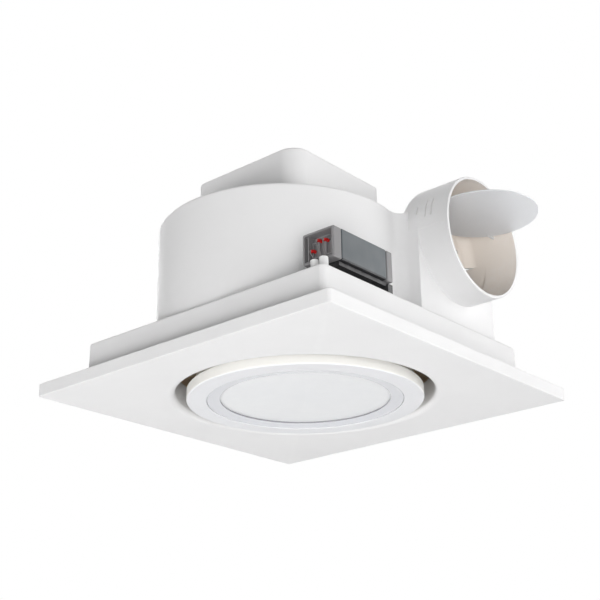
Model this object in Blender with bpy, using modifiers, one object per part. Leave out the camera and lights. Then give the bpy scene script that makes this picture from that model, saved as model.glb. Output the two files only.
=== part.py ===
"""Square ceiling extractor fan with a round lamp and a side duct outlet.

Metres, Z up. Z = 0 is the ceiling's underside, where the frame's flange meets it, and the origin is the
middle of the square ceiling cut-out. The duct spigot points along -Y. The fan's own axis and the drum's
middle are shifted along the diagonal, away from the outlet's corner.
"""
import math

import bmesh
import bpy
from mathutils import Matrix, Vector

# Clearances shared by all pieces
GAP = 0.0003
OVERRUN = 0.002
BITE = 0.001

# Points nearer than this are one point, and faces that meet at less than this angle are one flat face
SAME_POINT = 0.000001
FLAT_ANGLE = math.radians(0.2)

# Facets round a full turn
LARGE_STEPS = 48
MEDIUM_STEPS = 32
SMALL_STEPS = 20
SCREW_STEPS = 10

# The frame's skirt fits the ceiling's cut-out, and every other plan size follows it
FRAME_HALF = 0.124

# Fascia: a square tray with a round inlet
FASCIA_OVER = 0.0140
FASCIA_DEPTH = 0.0104
FASCIA_WALL = 0.0024
FASCIA_CORNER = 0.0025
FASCIA_EDGE = 0.0022
INLET_IN = 0.020
INLET_WALL = 0.0024
INLET_ROUND_OUT = 0.0055
INLET_ROUND_UP = 0.0045
INLET_RISE = 0.0120
SEAT_OUT = 0.005
SEAT_WALL = 0.0020
POST_R = 0.0040
POST_OUT = 0.0036
SNAP_IN = 0.007
SNAP_SHARE = 0.565
SNAP_THICK = 0.0020
SNAP_WIDTH = 0.014
HOOK_OUT = 0.0019
HOOK_HIGH = 0.0030

# Mounting frame: a tapered skirt, a top plate and a flange against the ceiling
FRAME_RISE = 0.0341
FRAME_WALL = 0.0024
FRAME_CORNER = 0.0025
FRAME_CORNER_IN = 0.0010
FRAME_TOP_SHARE = 0.9895
FLANGE_OUT = 0.012
FLANGE_THICK = 0.0022
FLANGE_CORNER = 0.0080
FIX_HOLE_R = 0.0022
FIX_HOLE_IN = 0.019
LEDGE_WIDTH = 0.018
LEDGE_LOW = 0.0030
LEDGE_THICK = 0.0020
PLATE_HOLE_OUT = 0.002

# Fan axis and drum, both shifted along the diagonal
AXIS_SHIFT = 0.009
DRUM_SHIFT = 0.013
DRUM_IN = 0.022
HOUSING_HEIGHT = 0.0972
HOUSING_WALL = 0.0025
TOP_ROUND = 0.0027
TONGUE_ANGLE = math.radians(290)
TONGUE_R = 0.009
TONGUE_DOWN = 0.0009
SHOULDER = 0.0036

# Outlet box, arch and spigot
OUTLET_SIDE = 0.0016
OUTLET_DOWN = 0.0174
SPIGOT_R = 0.0515
SPIGOT_WALL = 0.0022
SPIGOT_LONG = 0.0283
BOX_STEP = 0.0004
BOX_IN = 0.019
BOX_DEEP = 0.045
ARCH_DEEP = 0.023
ARCH_ROUND = 0.012
PASSAGE_HALF = 0.036
PASSAGE_DEEP = 0.012
EAR_R = 0.008
EAR_THICK = 0.0026
EAR_OUT = 0.005
EAR_ANGLES = (math.radians(210), math.radians(135))
SCROLL_EAR_ANGLE = math.radians(45)
TONGUE_EAR_IN = 0.0066
TONGUE_EAR_BACK = 0.006

# Backdraft flap and its place in the spigot
PIVOT_IN = 0.0187
PIVOT_UP = 0.020
FLAP_CLEAR = 0.0048
FLAP_THICK = 0.0012
TRUNNION_R = 0.0013
TRUNNION_BITE = 0.00104
TRUNNION_LONG = 0.0101
SLIT_WIDTH = 0.0010
SLIT_APART = 0.0029
SLIT_BELOW = 0.0126
SLIT_ABOVE = 0.0044
VENT_SLIT_BACK = 0.0118
VENT_SLIT_BELOW = 0.0077
STOP_HALF = 0.005
STOP_THICK = 0.0020
STOP_GRIP = 0.0030

# Inlet ring: a bell mouth under the wheel
RING_CLEAR = 0.00184
RING_THICK = 0.0020
BELL_IN = 0.014
BELL_NARROW = 0.018
BELL_RISE = 0.0126
RING_SCREW_IN = 0.005
RING_SCREW_ANGLES = (math.radians(20), math.radians(140), math.radians(260))

# Wheel
WHEEL_OVER = 0.015
WHEEL_GAP = 0.0015
WHEEL_THICK = 0.0020
WHEEL_DOWN = 0.0223
EYE_OVER = 0.002
HUB_WALL = 0.007
HUB_BELOW = 0.013
HUB_ABOVE = 0.007
BLADE_COUNT = 24
BLADE_IN = 0.001
BLADE_THICK = 0.0012
BLADE_SWEEP = math.radians(13)
NUT_WALL = 0.0030
NUT_THICK = 0.0050

# Motor
SHAFT_R = 0.0040
SHAFT_BELOW_NUT = 0.0025
PLATE_OUT = 0.022
PLATE_THICK = 0.0015
PLATE_BORE_OUT = 0.0015
MOTOR_R = 0.040
MOTOR_HOLE_OUT = 0.003
SHIELD_WALL = 0.0025
SHIELD_FLOOR = 0.0030
SHIELD_RIM = 0.0109
BEARING_R = 0.0090
BEARING_BOSS_WALL = 0.0015
BEARING_HIGH = 0.0062
BEARING_ROOF = 0.0021
SHAFT_HOLE_OUT = 0.0010
BOSS_DOWN = 0.0081
BOSS_UP = 0.0021
STATOR_HIGH = 0.0227
ROTOR_IN = 0.0179
ROTOR_GAP = 0.0005
ROTOR_HIGH = 0.0213
WINDING_OUT = 0.0024
WINDING_IN = 0.004
WINDING_HIGH = 0.0054
MOTOR_SCREW_IN = 0.012

# Motor cover: a square cap with round corners
COVER_HALF = 0.0548
COVER_RISE = 0.0456
COVER_ASIDE = Vector((-0.0017, -0.0038))
COVER_WALL = 0.0024
COVER_CORNER = 0.0165
COVER_SIDE_CORNER = 0.0050
COVER_EDGE = 0.0025
COVER_TOP_SHARE = 0.99
COVER_SCREW_IN = 0.0061
COVER_BOSS_R = 0.0045
COVER_HOLE_DEEP = 0.015

# Lamp
LAMP_IN = 0.0070
LAMP_WALL = 0.0024
LAMP_DEEP = 0.0179
LAMP_LIP_OUT = 0.0018
LAMP_LIP_THICK = 0.0023
LAMP_DROP = 0.0026
AIR_GAP = 0.0090
TRIM_WIDTH = 0.0160
TRIM_THICK = 0.0028
TRIM_SKIRT_UP = 0.0020
TRIM_SKIRT_WALL = 0.0020
TRIM_EDGE = 0.0008
TRIM_STEP = 0.0030
TRIM_STEP_UP = 0.0016
LENS_WIDTH = 0.0108
LENS_EDGE = 0.0004
LENS_RECESS = 0.0004
DIFFUSER_THICK = 0.0020
BOARD_MARGIN = 0.0056
BOARD_THICK = 0.0016

# Lamp spider: crossed bars with a boss on the lamp's back
SPIDER_WIDTH = 0.012
SPIDER_THICK = 0.0020
SPIDER_OVER = 0.004
SPIDER_BOSS_OUT = 0.006
LAMP_SCREW_AT = 0.014

# Driver box on the frame's top
DRIVER_IN = Vector((0.0167, 0.004, 0.0105))
DRIVER_SIZE = Vector((0.0688, 0.029, 0.0244))
DRIVER_WALL = 0.0016
DRIVER_EDGE = 0.0008
NEAR_CAP_LONG = 0.0092
FAR_CAP_LONG = 0.0068
CAP_WALL = 0.0020
CAP_FLOOR = 0.0015
CAP_GROOVE = 0.0008
BOARD_INSET = 0.004
TERMINAL_THICK = 0.0032
TERMINAL_WIDTH = 0.018
TERMINAL_HIGH = 0.013
TERMINAL_IN = 0.005
CRADLE_THICK = 0.0030
CRADLE_SET_BACK = 0.003
CRADLE_LEG = 0.010
CRADLE_FOOT = 0.0045
CRADLE_FOOT_DEEP = 0.015

# Leads and terminal for the supply
LAMP_LEAD_R = 0.0033
SUPPLY_LEAD_R = 0.0030
LEAD_CLEAR = 0.0007
LEAD_AHEAD = 0.0029
LAMP_LEAD_SIDE = 0.0070
SUPPLY_LEAD_SIDE = 0.0155
CORE_R = 0.0010
CORE_SPREAD = 0.0014
CORE_HEIGHT_SHARES = (0.80, 0.88, 0.38)
SUPPLY_BLOCK = Vector((0.030, 0.014, 0.011))
SUPPLY_BLOCK_IN = (0.038, 0.072)
GLAND_IN = 0.038
LEAD_POINTS_PER_SPAN = 6

# Screws
SCREW_R = 0.0015
SCREW_HEAD_R = 0.0033
SCREW_HEAD_HIGH = 0.0019
SCREW_GRIP = 0.0060

# Places and sizes that follow from the sizes above
FLANGE_HALF = FRAME_HALF + FLANGE_OUT
FASCIA_HALF = FLANGE_HALF + FASCIA_OVER
SEAT_HALF = FRAME_HALF + SEAT_OUT
INLET_R = FRAME_HALF - INLET_IN
POST_AT = INLET_R + INLET_WALL + POST_OUT
SNAP_X = FRAME_HALF - SNAP_IN
SNAP_Y = FRAME_HALF * SNAP_SHARE
FIX_HOLE_Y = FRAME_HALF - FIX_HOLE_IN
AXIS_X, AXIS_Y = -AXIS_SHIFT, AXIS_SHIFT
DRUM_X, DRUM_Y = -DRUM_SHIFT, DRUM_SHIFT
DRUM_R = FRAME_HALF - DRUM_IN
HOUSING_BASE = FRAME_RISE + GAP
HOUSING_TOP = HOUSING_BASE + HOUSING_HEIGHT
CEILING_IN = HOUSING_TOP - HOUSING_WALL
BOX_HALF = SPIGOT_R + BOX_STEP
BOX_RIGHT = FRAME_HALF - OUTLET_SIDE
OUTLET_X = BOX_RIGHT - BOX_HALF
BOX_LEFT = OUTLET_X - BOX_HALF
BOX_FRONT = FRAME_HALF - BOX_IN
BOX_BACK = BOX_FRONT - BOX_DEEP
ARCH_BACK = BOX_FRONT - ARCH_DEEP
SPIGOT_END = BOX_FRONT + SPIGOT_LONG
SPIGOT_BORE_R = SPIGOT_R - SPIGOT_WALL
OUTLET_Z = HOUSING_TOP - OUTLET_DOWN
PIVOT_Y = -SPIGOT_END + PIVOT_IN
PIVOT_Z = OUTLET_Z + PIVOT_UP
FLAP_R = SPIGOT_BORE_R - FLAP_CLEAR
TRUNNION_REACH = math.sqrt(SPIGOT_BORE_R**2 - PIVOT_UP**2) + TRUNNION_BITE
TRUNNION_ROOT = TRUNNION_REACH - TRUNNION_LONG
RING_R = DRUM_R - HOUSING_WALL - math.hypot(AXIS_X - DRUM_X, AXIS_Y - DRUM_Y) - RING_CLEAR
RING_SCREW_R = RING_R - RING_SCREW_IN
BELL_R = RING_R - BELL_IN
THROAT_R = BELL_R - BELL_NARROW
PLATE_HOLE_R = BELL_R + PLATE_HOLE_OUT
RING_TOP = HOUSING_BASE + BELL_RISE
BEARING_BOSS_R = BEARING_R + BEARING_BOSS_WALL
SHAFT_HOLE_R = SHAFT_R + SHAFT_HOLE_OUT
ROTOR_R = MOTOR_R - ROTOR_IN
STATOR_BORE_R = ROTOR_R + ROTOR_GAP
WINDING_IN_R = STATOR_BORE_R + WINDING_OUT
WINDING_OUT_R = MOTOR_R - WINDING_IN
MOTOR_SCREW_AT = MOTOR_R - MOTOR_SCREW_IN
MOTOR_HOLE_R = MOTOR_R + MOTOR_HOLE_OUT
PLATE_R = MOTOR_R + PLATE_OUT
PLATE_BORE_R = BEARING_BOSS_R + PLATE_BORE_OUT
PLATE_TOP = CEILING_IN - GAP
PLATE_BASE = PLATE_TOP - PLATE_THICK
EYE_R = THROAT_R + EYE_OVER
WHEEL_R = THROAT_R + WHEEL_OVER
BLADE_IN_R = EYE_R - BLADE_IN
WHEEL_BASE = RING_TOP + WHEEL_GAP
WHEEL_TOP = PLATE_BASE - WHEEL_DOWN
HUB_R = SHAFT_R + HUB_WALL
NUT_R = SHAFT_R + NUT_WALL
COVER_BOSS_AT = (PLATE_R - COVER_SCREW_IN) / math.sqrt(2)
SHIELD_BASE = PLATE_TOP + GAP
STATOR_BASE = SHIELD_BASE + SHIELD_RIM + GAP
STATOR_TOP = STATOR_BASE + STATOR_HIGH
COVER_BASE = HOUSING_TOP + GAP
COVER_TOP = COVER_BASE + COVER_RISE
LAMP_FACE = -FASCIA_DEPTH - LAMP_DROP
TRIM_TOP = LAMP_FACE + TRIM_THICK
LAMP_BASE = TRIM_TOP + GAP
LAMP_TOP = LAMP_BASE + LAMP_DEEP
TRIM_OUT_R = INLET_R - AIR_GAP
TRIM_IN_R = TRIM_OUT_R - TRIM_WIDTH
LENS_IN_R = TRIM_IN_R - LENS_WIDTH
LAMP_R = TRIM_OUT_R - LAMP_IN
LAMP_LIP_R = LENS_IN_R + LAMP_LIP_OUT
BOARD_R = LAMP_R - LAMP_WALL - BOARD_MARGIN
GLAND_AT = (GLAND_IN - LAMP_R, GLAND_IN - LAMP_R)
SPIDER_BOSS_R = LAMP_SCREW_AT + SPIDER_BOSS_OUT
SPIDER_BASE = INLET_RISE + GAP
SPIDER_TOP = SPIDER_BASE + SPIDER_THICK
DRIVER_LOW = Vector((-FRAME_HALF, -FRAME_HALF, FRAME_RISE)) + DRIVER_IN
DRIVER_HIGH = DRIVER_LOW + DRIVER_SIZE
SUPPLY_BLOCK_AT = [across - FRAME_HALF for across in SUPPLY_BLOCK_IN]
HUB_TOP = WHEEL_TOP + HUB_ABOVE
HUB_BASE = WHEEL_TOP - WHEEL_THICK - HUB_BELOW
NUT_BASE = HUB_BASE - GAP - NUT_THICK
LEAD_X = DRIVER_LOW.x - LEAD_AHEAD
LAMP_LEAD_Y = DRIVER_LOW.y + LAMP_LEAD_SIDE
SUPPLY_LEAD_Y = DRIVER_LOW.y + SUPPLY_LEAD_SIDE


def clear_scene():
    for obj in list(bpy.data.objects):
        bpy.data.objects.remove(obj, do_unlink=True)


def new_collection(name):
    collection = bpy.data.collections.new(name)
    bpy.context.scene.collection.children.link(collection)
    return collection


def material(name, colour, roughness, metallic=0.0, alpha=1.0):
    mat = bpy.data.materials.new(name)
    mat.use_nodes = True
    shader = mat.node_tree.nodes["Principled BSDF"]
    shader.inputs["Base Color"].default_value = (*colour, 1.0)
    shader.inputs["Roughness"].default_value = roughness
    shader.inputs["Metallic"].default_value = metallic
    shader.inputs["Alpha"].default_value = alpha
    return mat


def arc(centre_x, centre_y, radius, start, end, steps, radius_up=None):
    """Points on an arc, or on an elliptic arc when the upward radius differs."""
    tall = radius if radius_up is None else radius_up
    turns = [start + (end - start) * k / steps for k in range(steps + 1)]
    return [(centre_x + radius * math.cos(a), centre_y + tall * math.sin(a)) for a in turns]


def rounded_square(half, corner, steps=5, side_corner=None):
    """Outline of a square with round corners, whose second and fourth may have a radius of their own."""
    quarter = math.pi / 2
    aside = corner if side_corner is None else side_corner
    points = []
    for k, (x, y) in enumerate(((1, 1), (-1, 1), (-1, -1), (1, -1))):
        radius = aside if k % 2 else corner
        reach = half - radius
        points += arc(x * reach, y * reach, radius, k * quarter, (k + 1) * quarter, steps)
    return points


def smooth_route(points):
    """Catmull-Rom points through a route."""
    ends = [points[0]] + [Vector(p) for p in points] + [points[-1]]
    ends = [Vector(p) for p in ends]
    route = []
    for a, b, c, d in zip(ends, ends[1:], ends[2:], ends[3:]):
        for k in range(LEAD_POINTS_PER_SPAN):
            t = k / LEAD_POINTS_PER_SPAN
            line = 2 * b + (c - a) * t
            bend = (2 * a - 5 * b + 4 * c - d) * t**2 + (3 * b - a - 3 * c + d) * t**3
            route.append((line + bend) / 2)
    return route + [ends[-1]]


def add_object(name, mesh, location=(0, 0, 0), rotation=(0, 0, 0)):
    obj = bpy.data.objects.new(name, mesh)
    obj.location = location
    obj.rotation_euler = rotation
    PARTS.objects.link(obj)
    return obj


def box(name, low, high):
    low, high = Vector(low), Vector(high)
    size = high - low
    bm = bmesh.new()
    bmesh.ops.create_cube(bm, size=1.0, matrix=Matrix.Diagonal((*size, 1.0)))
    mesh = bpy.data.meshes.new(name)
    bm.to_mesh(mesh)
    bm.free()
    return add_object(name, mesh, (low + high) / 2)


def cylinder(name, radius, low, high, place, steps=SMALL_STEPS, rotation=(0, 0, 0)):
    """A rod from low to high along its own axis, which stands at place."""
    bm = bmesh.new()
    middle = Matrix.Translation((0, 0, (low + high) / 2))
    bmesh.ops.create_cone(
        bm, cap_ends=True, segments=steps, radius1=radius, radius2=radius, depth=high - low, matrix=middle
    )
    mesh = bpy.data.meshes.new(name)
    bm.to_mesh(mesh)
    bm.free()
    return add_object(name, mesh, place, rotation)


def turned(name, profile, place=(0, 0, 0), steps=LARGE_STEPS, rotation=(0, 0, 0), closed=False):
    """A profile of (radius, height) points, down the outer side, turned about its own Z axis."""
    points = [(r, 0, z) for r, z in profile]
    edges = [(k, k + 1) for k in range(len(points) - 1)]
    if closed:
        edges.append((len(points) - 1, 0))
    mesh = bpy.data.meshes.new(name)
    mesh.from_pydata(points, edges, [])
    obj = add_object(name, mesh, place, rotation)
    screw = obj.modifiers.new("turn", "SCREW")
    screw.steps = steps
    screw.render_steps = steps
    screw.use_merge_vertices = True
    screw.merge_threshold = SAME_POINT
    screw.use_smooth_shade = False
    return obj


def prism(name, outline, low, high, place=(0, 0)):
    """A flat outline raised from low to high."""
    curve = bpy.data.curves.new(name, "CURVE")
    curve.dimensions = "2D"
    curve.fill_mode = "BOTH"
    curve.extrude = (high - low) / 2
    spline = curve.splines.new("POLY")
    spline.points.add(len(outline) - 1)
    for point, (x, y) in zip(spline.points, outline):
        point.co = (x, y, 0, 1)
    spline.use_cyclic_u = True
    return curve_mesh(name, curve, (*place, (low + high) / 2))


def tube(name, route, radius):
    curve = bpy.data.curves.new(name, "CURVE")
    curve.dimensions = "3D"
    curve.bevel_depth = radius
    curve.bevel_resolution = 2
    curve.use_fill_caps = True
    spline = curve.splines.new("POLY")
    spline.points.add(len(route) - 1)
    for point, place in zip(spline.points, route):
        point.co = (*place, 1)
    return curve_mesh(name, curve, (0, 0, 0))


def curve_mesh(name, curve, place):
    guide = bpy.data.objects.new(name + "_guide", curve)
    guide.location = place
    PARTS.objects.link(guide)
    return as_mesh(name, guide)


def as_mesh(name, guide):
    """The mesh of a curve or a turned shape, with loose caps welded and each flat end made one face."""
    bpy.context.view_layer.update()
    mesh = bpy.data.meshes.new_from_object(guide.evaluated_get(bpy.context.evaluated_depsgraph_get()))
    mesh.name = name
    bm = bmesh.new()
    bm.from_mesh(mesh)
    bmesh.ops.remove_doubles(bm, verts=bm.verts, dist=SAME_POINT)
    bmesh.ops.recalc_face_normals(bm, faces=bm.faces)
    bmesh.ops.dissolve_limit(bm, angle_limit=FLAT_ANGLE, verts=bm.verts, edges=bm.edges)
    bm.to_mesh(mesh)
    bm.free()
    obj = add_object(name, mesh)
    obj.matrix_world = guide.matrix_world
    bpy.data.objects.remove(guide, do_unlink=True)
    return obj


def taper(obj, share):
    """Narrows the top of an upright prism about its own axis."""
    for vertex in obj.data.vertices:
        if vertex.co.z > 0:
            vertex.co.x *= share
            vertex.co.y *= share


def combine(obj, operation, tools):
    for tool in tools:
        PARTS.objects.unlink(tool)
        CUTTERS.objects.link(tool)
        tool.hide_render = True
        tool.display_type = "WIRE"
        step = obj.modifiers.new(tool.name, "BOOLEAN")
        step.operation = operation
        step.solver = "EXACT"
        step.object = tool
    return obj


def cut(obj, *tools):
    return combine(obj, "DIFFERENCE", tools)


def unite(obj, *tools):
    return combine(obj, "UNION", tools)


def round_edges(obj, width, segments, chosen):
    """Rounds the edges whose two ends both pass the test."""
    mesh = obj.data
    weights = mesh.attributes.new("bevel_weight_edge", "FLOAT", "EDGE")
    for edge in mesh.edges:
        ends = [mesh.vertices[k].co for k in edge.vertices]
        weights.data[edge.index].value = 1.0 if chosen(*ends) else 0.0
    bevel = obj.modifiers.new("rounded", "BEVEL")
    bevel.limit_method = "WEIGHT"
    bevel.width = width
    bevel.segments = segments
    return obj


def on_top(a, b):
    return a.z > 0 and b.z > 0 and abs(a.z - b.z) < GAP


def at_base(a, b):
    return a.z < 0 and b.z < 0 and abs(a.z - b.z) < GAP


def any_edge(a, b):
    return True


def finish(obj, mat, smooth=math.radians(35)):
    obj.data.materials.clear()
    obj.data.materials.append(mat)
    if obj.data.polygons:
        obj.data.shade_smooth()
        obj.data.set_sharp_from_angle(angle=smooth)
    for step in obj.modifiers:
        if step.type == "SCREW":
            step.use_smooth_shade = True
    return obj


def screw(name, x, y, seat, length, up=True):
    """A pan-headed screw whose head stands on the seat and whose shank runs the other way."""
    side = 1 if up else -1
    profile = [
        (0, SCREW_HEAD_HIGH),
        (SCREW_HEAD_R - TRIM_EDGE, SCREW_HEAD_HIGH),
        (SCREW_HEAD_R, SCREW_HEAD_HIGH - TRIM_EDGE),
        (SCREW_HEAD_R, 0),
        (SCREW_R, 0),
        (SCREW_R, -length),
        (0, -length),
    ]
    rotation = (0, 0, 0) if up else (math.pi, 0, 0)
    return finish(turned(name, profile, (x, y, seat + side * GAP), SCREW_STEPS, rotation), STEEL)


def screw_hole(name, x, y, low, high):
    return cylinder(name, SCREW_R + GAP, low, high, (x, y, 0), SCREW_STEPS)


def build_fascia():
    half = FASCIA_HALF
    floor = -FASCIA_DEPTH + FASCIA_WALL
    middle = -FASCIA_DEPTH / 2
    fascia = prism("fascia", rounded_square(half, FASCIA_CORNER, 2), -FASCIA_DEPTH, 0)
    round_edges(fascia, FASCIA_EDGE, 2, at_base)
    inner = half - FASCIA_WALL
    hollow = box("fascia_hollow", (-inner, -inner, floor), (inner, inner, OVERRUN))
    wall_r = INLET_R + INLET_WALL
    wall = cylinder("inlet_wall", wall_r, middle * 2 + BITE, INLET_RISE, (0, 0, 0), LARGE_STEPS)
    seat_in = SEAT_HALF - SEAT_WALL
    seat = box(
        "flange_seat", (-SEAT_HALF, -SEAT_HALF, floor - BITE), (SEAT_HALF, SEAT_HALF, -FLANGE_THICK - GAP)
    )
    cut(seat, box("seat_hollow", (-seat_in, -seat_in, floor - OVERRUN), (seat_in, seat_in, OVERRUN)))
    posts = []
    for k, (x, y) in enumerate(spider_places()):
        posts.append(cylinder(f"lamp_post_{k}", POST_R, floor - BITE, INLET_RISE, (x, y, 0), SCREW_STEPS))
    snaps = [snap_post(k, x_side, y_side) for k, (x_side, y_side) in enumerate(corner_sides())]
    trumpet = [(0, INLET_RISE + OVERRUN), (INLET_R, INLET_RISE + OVERRUN)]
    trumpet += arc(
        INLET_R + INLET_ROUND_OUT,
        INLET_ROUND_UP - FASCIA_DEPTH,
        INLET_ROUND_OUT,
        math.pi,
        3 * math.pi / 2,
        5,
        INLET_ROUND_UP,
    )
    trumpet += [(INLET_R + INLET_ROUND_OUT, -FASCIA_DEPTH - OVERRUN), (0, -FASCIA_DEPTH - OVERRUN)]
    cut(fascia, hollow)
    unite(fascia, seat, wall, *posts, *snaps)
    cut(fascia, turned("inlet_opening", trumpet))
    for k, (x, y) in enumerate(spider_places()):
        cut(fascia, screw_hole(f"post_hole_{k}", x, y, SPIDER_BASE - GAP - SCREW_GRIP * 2, SPIDER_TOP))
    return finish(fascia, WHITE)


def corner_sides():
    return [(x, y) for x in (1, -1) for y in (1, -1)]


def snap_post(number, x_side, y_side):
    """A springy post whose hook stands on the frame's inner ledge."""
    floor = -FASCIA_DEPTH + FASCIA_WALL
    hook_low = LEDGE_LOW + LEDGE_THICK + GAP
    hook_top = hook_low + HOOK_HIGH
    inner = SNAP_X - SNAP_THICK / 2
    outer = SNAP_X + SNAP_THICK / 2
    low_y = y_side * SNAP_Y - SNAP_WIDTH / 2
    high_y = y_side * SNAP_Y + SNAP_WIDTH / 2
    sides = sorted((x_side * inner, x_side * outer))
    post = box(f"snap_post_{number}", (sides[0], low_y, floor - BITE), (sides[1], high_y, hook_top))
    sides = sorted((x_side * (outer - BITE), x_side * (outer + HOOK_OUT)))
    hook = box(f"snap_hook_{number}", (sides[0], low_y, hook_low), (sides[1], high_y, hook_top))
    return unite(post, hook)


def build_frame():
    frame = prism(
        "mounting_frame", rounded_square(FRAME_HALF, FRAME_CORNER, 3), -FLANGE_THICK / 2, FRAME_RISE
    )
    taper(frame, FRAME_TOP_SHARE)
    flange = prism("frame_flange", rounded_square(FLANGE_HALF, FLANGE_CORNER, 3), -FLANGE_THICK, 0)
    inner = FRAME_HALF - FRAME_WALL
    plate_base = FRAME_RISE - FRAME_WALL
    hollow = prism(
        "frame_hollow",
        rounded_square(inner, FRAME_CORNER_IN, 3),
        -FLANGE_THICK - OVERRUN,
        plate_base,
    )
    taper(hollow, FRAME_TOP_SHARE)
    ledge_in = SNAP_X + SNAP_THICK / 2 + GAP
    ledges = []
    for k, (x_side, y_side) in enumerate(corner_sides()):
        sides = sorted((x_side * ledge_in, x_side * (FRAME_HALF - FRAME_WALL / 2)))
        middle = y_side * SNAP_Y
        low = (sides[0], middle - LEDGE_WIDTH / 2, LEDGE_LOW)
        high = (sides[1], middle + LEDGE_WIDTH / 2, LEDGE_LOW + LEDGE_THICK)
        ledges.append(box(f"frame_ledge_{k}", low, high))
    below, above = plate_base - OVERRUN, FRAME_RISE + OVERRUN
    opening = cylinder(
        "plate_opening", PLATE_HOLE_R, below, above, (AXIS_X, AXIS_Y, 0), LARGE_STEPS
    )
    unite(frame, flange)
    cut(frame, hollow, opening)
    unite(frame, *ledges)
    for k, (x_side, y_side) in enumerate(corner_sides()):
        x = x_side * (FRAME_HALF + FLANGE_HALF) / 2
        place = (x, y_side * FIX_HOLE_Y, 0)
        cut(frame, cylinder(f"fixing_hole_{k}", FIX_HOLE_R, -OVERRUN * 2, OVERRUN, place, SCREW_STEPS))
    for name, y, radius in (("lamp", LAMP_LEAD_Y, LAMP_LEAD_R), ("supply", SUPPLY_LEAD_Y, SUPPLY_LEAD_R)):
        cut(frame, cylinder(f"{name}_lead_hole", radius + LEAD_CLEAR, below, above, (LEAD_X, y, 0)))
    places = ear_places() + ring_screw_places() + cradle_screw_places()
    for k, (x, y) in enumerate(places):
        cut(frame, screw_hole(f"plate_screw_hole_{k}", x, y, below, above))
    return finish(frame, WHITE)


def scroll_radius(inset):
    return BOX_RIGHT - BOX_STEP - inset - DRUM_X


def scroll_outline(inset):
    """The drum and the wider scroll, tangent to each other and to the box's right wall."""
    drum_r = DRUM_R - inset
    wide_r = scroll_radius(inset)
    wide_y = DRUM_Y + DRUM_R - inset - wide_r
    quarter = math.pi / 2
    front_y = DRUM_Y + drum_r * math.sin(TONGUE_ANGLE)
    right = DRUM_X + wide_r
    points = [(right, front_y + 2 * SHOULDER)]
    points += arc(DRUM_X, wide_y, wide_r, 0, quarter, 12)
    points += arc(DRUM_X, DRUM_Y, drum_r, quarter, TONGUE_ANGLE, 28)[1:]
    points.append((right - SHOULDER, front_y))
    return points


def barrel(name, radius, end, back, rounding):
    """The arch over the outlet box and the spigot in front of it, as one round bar along -Y."""
    profile = [(0, end), (radius, end)]
    profile += arc(radius - rounding, back + rounding, rounding, 0, -math.pi / 2, 4)
    profile.append((0, back))
    bar = turned(name, profile, (OUTLET_X, 0, OUTLET_Z), LARGE_STEPS, (math.pi / 2, 0, 0))
    return as_mesh(name, bar)


def tongue_filler():
    """Fills the hollow corner between the drum and the box's left wall with a concave round."""
    x = BOX_LEFT - TONGUE_R
    y = DRUM_Y - math.sqrt((DRUM_R + TONGUE_R) ** 2 - (x - DRUM_X) ** 2)
    towards_drum = math.atan2(DRUM_Y - y, DRUM_X - x)
    points = arc(x, y, TONGUE_R, towards_drum, 0, 7)
    inner = BOX_LEFT + HOUSING_WALL / 2
    drum_side = math.atan2(y - DRUM_Y, x - DRUM_X)
    deep = DRUM_R - HOUSING_WALL / 2
    points.append((inner, y))
    points.append((inner, DRUM_Y + deep * math.sin(TONGUE_ANGLE)))
    points.append((DRUM_X + deep * math.cos(drum_side), DRUM_Y + deep * math.sin(drum_side)))
    return prism("tongue_filler", points, HOUSING_BASE + GAP, HOUSING_TOP - TONGUE_DOWN)


def ear_places():
    places = []
    for angle in EAR_ANGLES:
        reach = DRUM_R + EAR_OUT
        places.append((DRUM_X + reach * math.cos(angle), DRUM_Y + reach * math.sin(angle)))
    wide_r = scroll_radius(0)
    reach = wide_r + EAR_OUT
    wide_y = DRUM_Y + DRUM_R - wide_r
    angle = SCROLL_EAR_ANGLE
    places.append((DRUM_X + reach * math.cos(angle), wide_y + reach * math.sin(angle)))
    places.append((BOX_LEFT - TONGUE_EAR_IN, TONGUE_EAR_BACK - BOX_FRONT))
    return places


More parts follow.
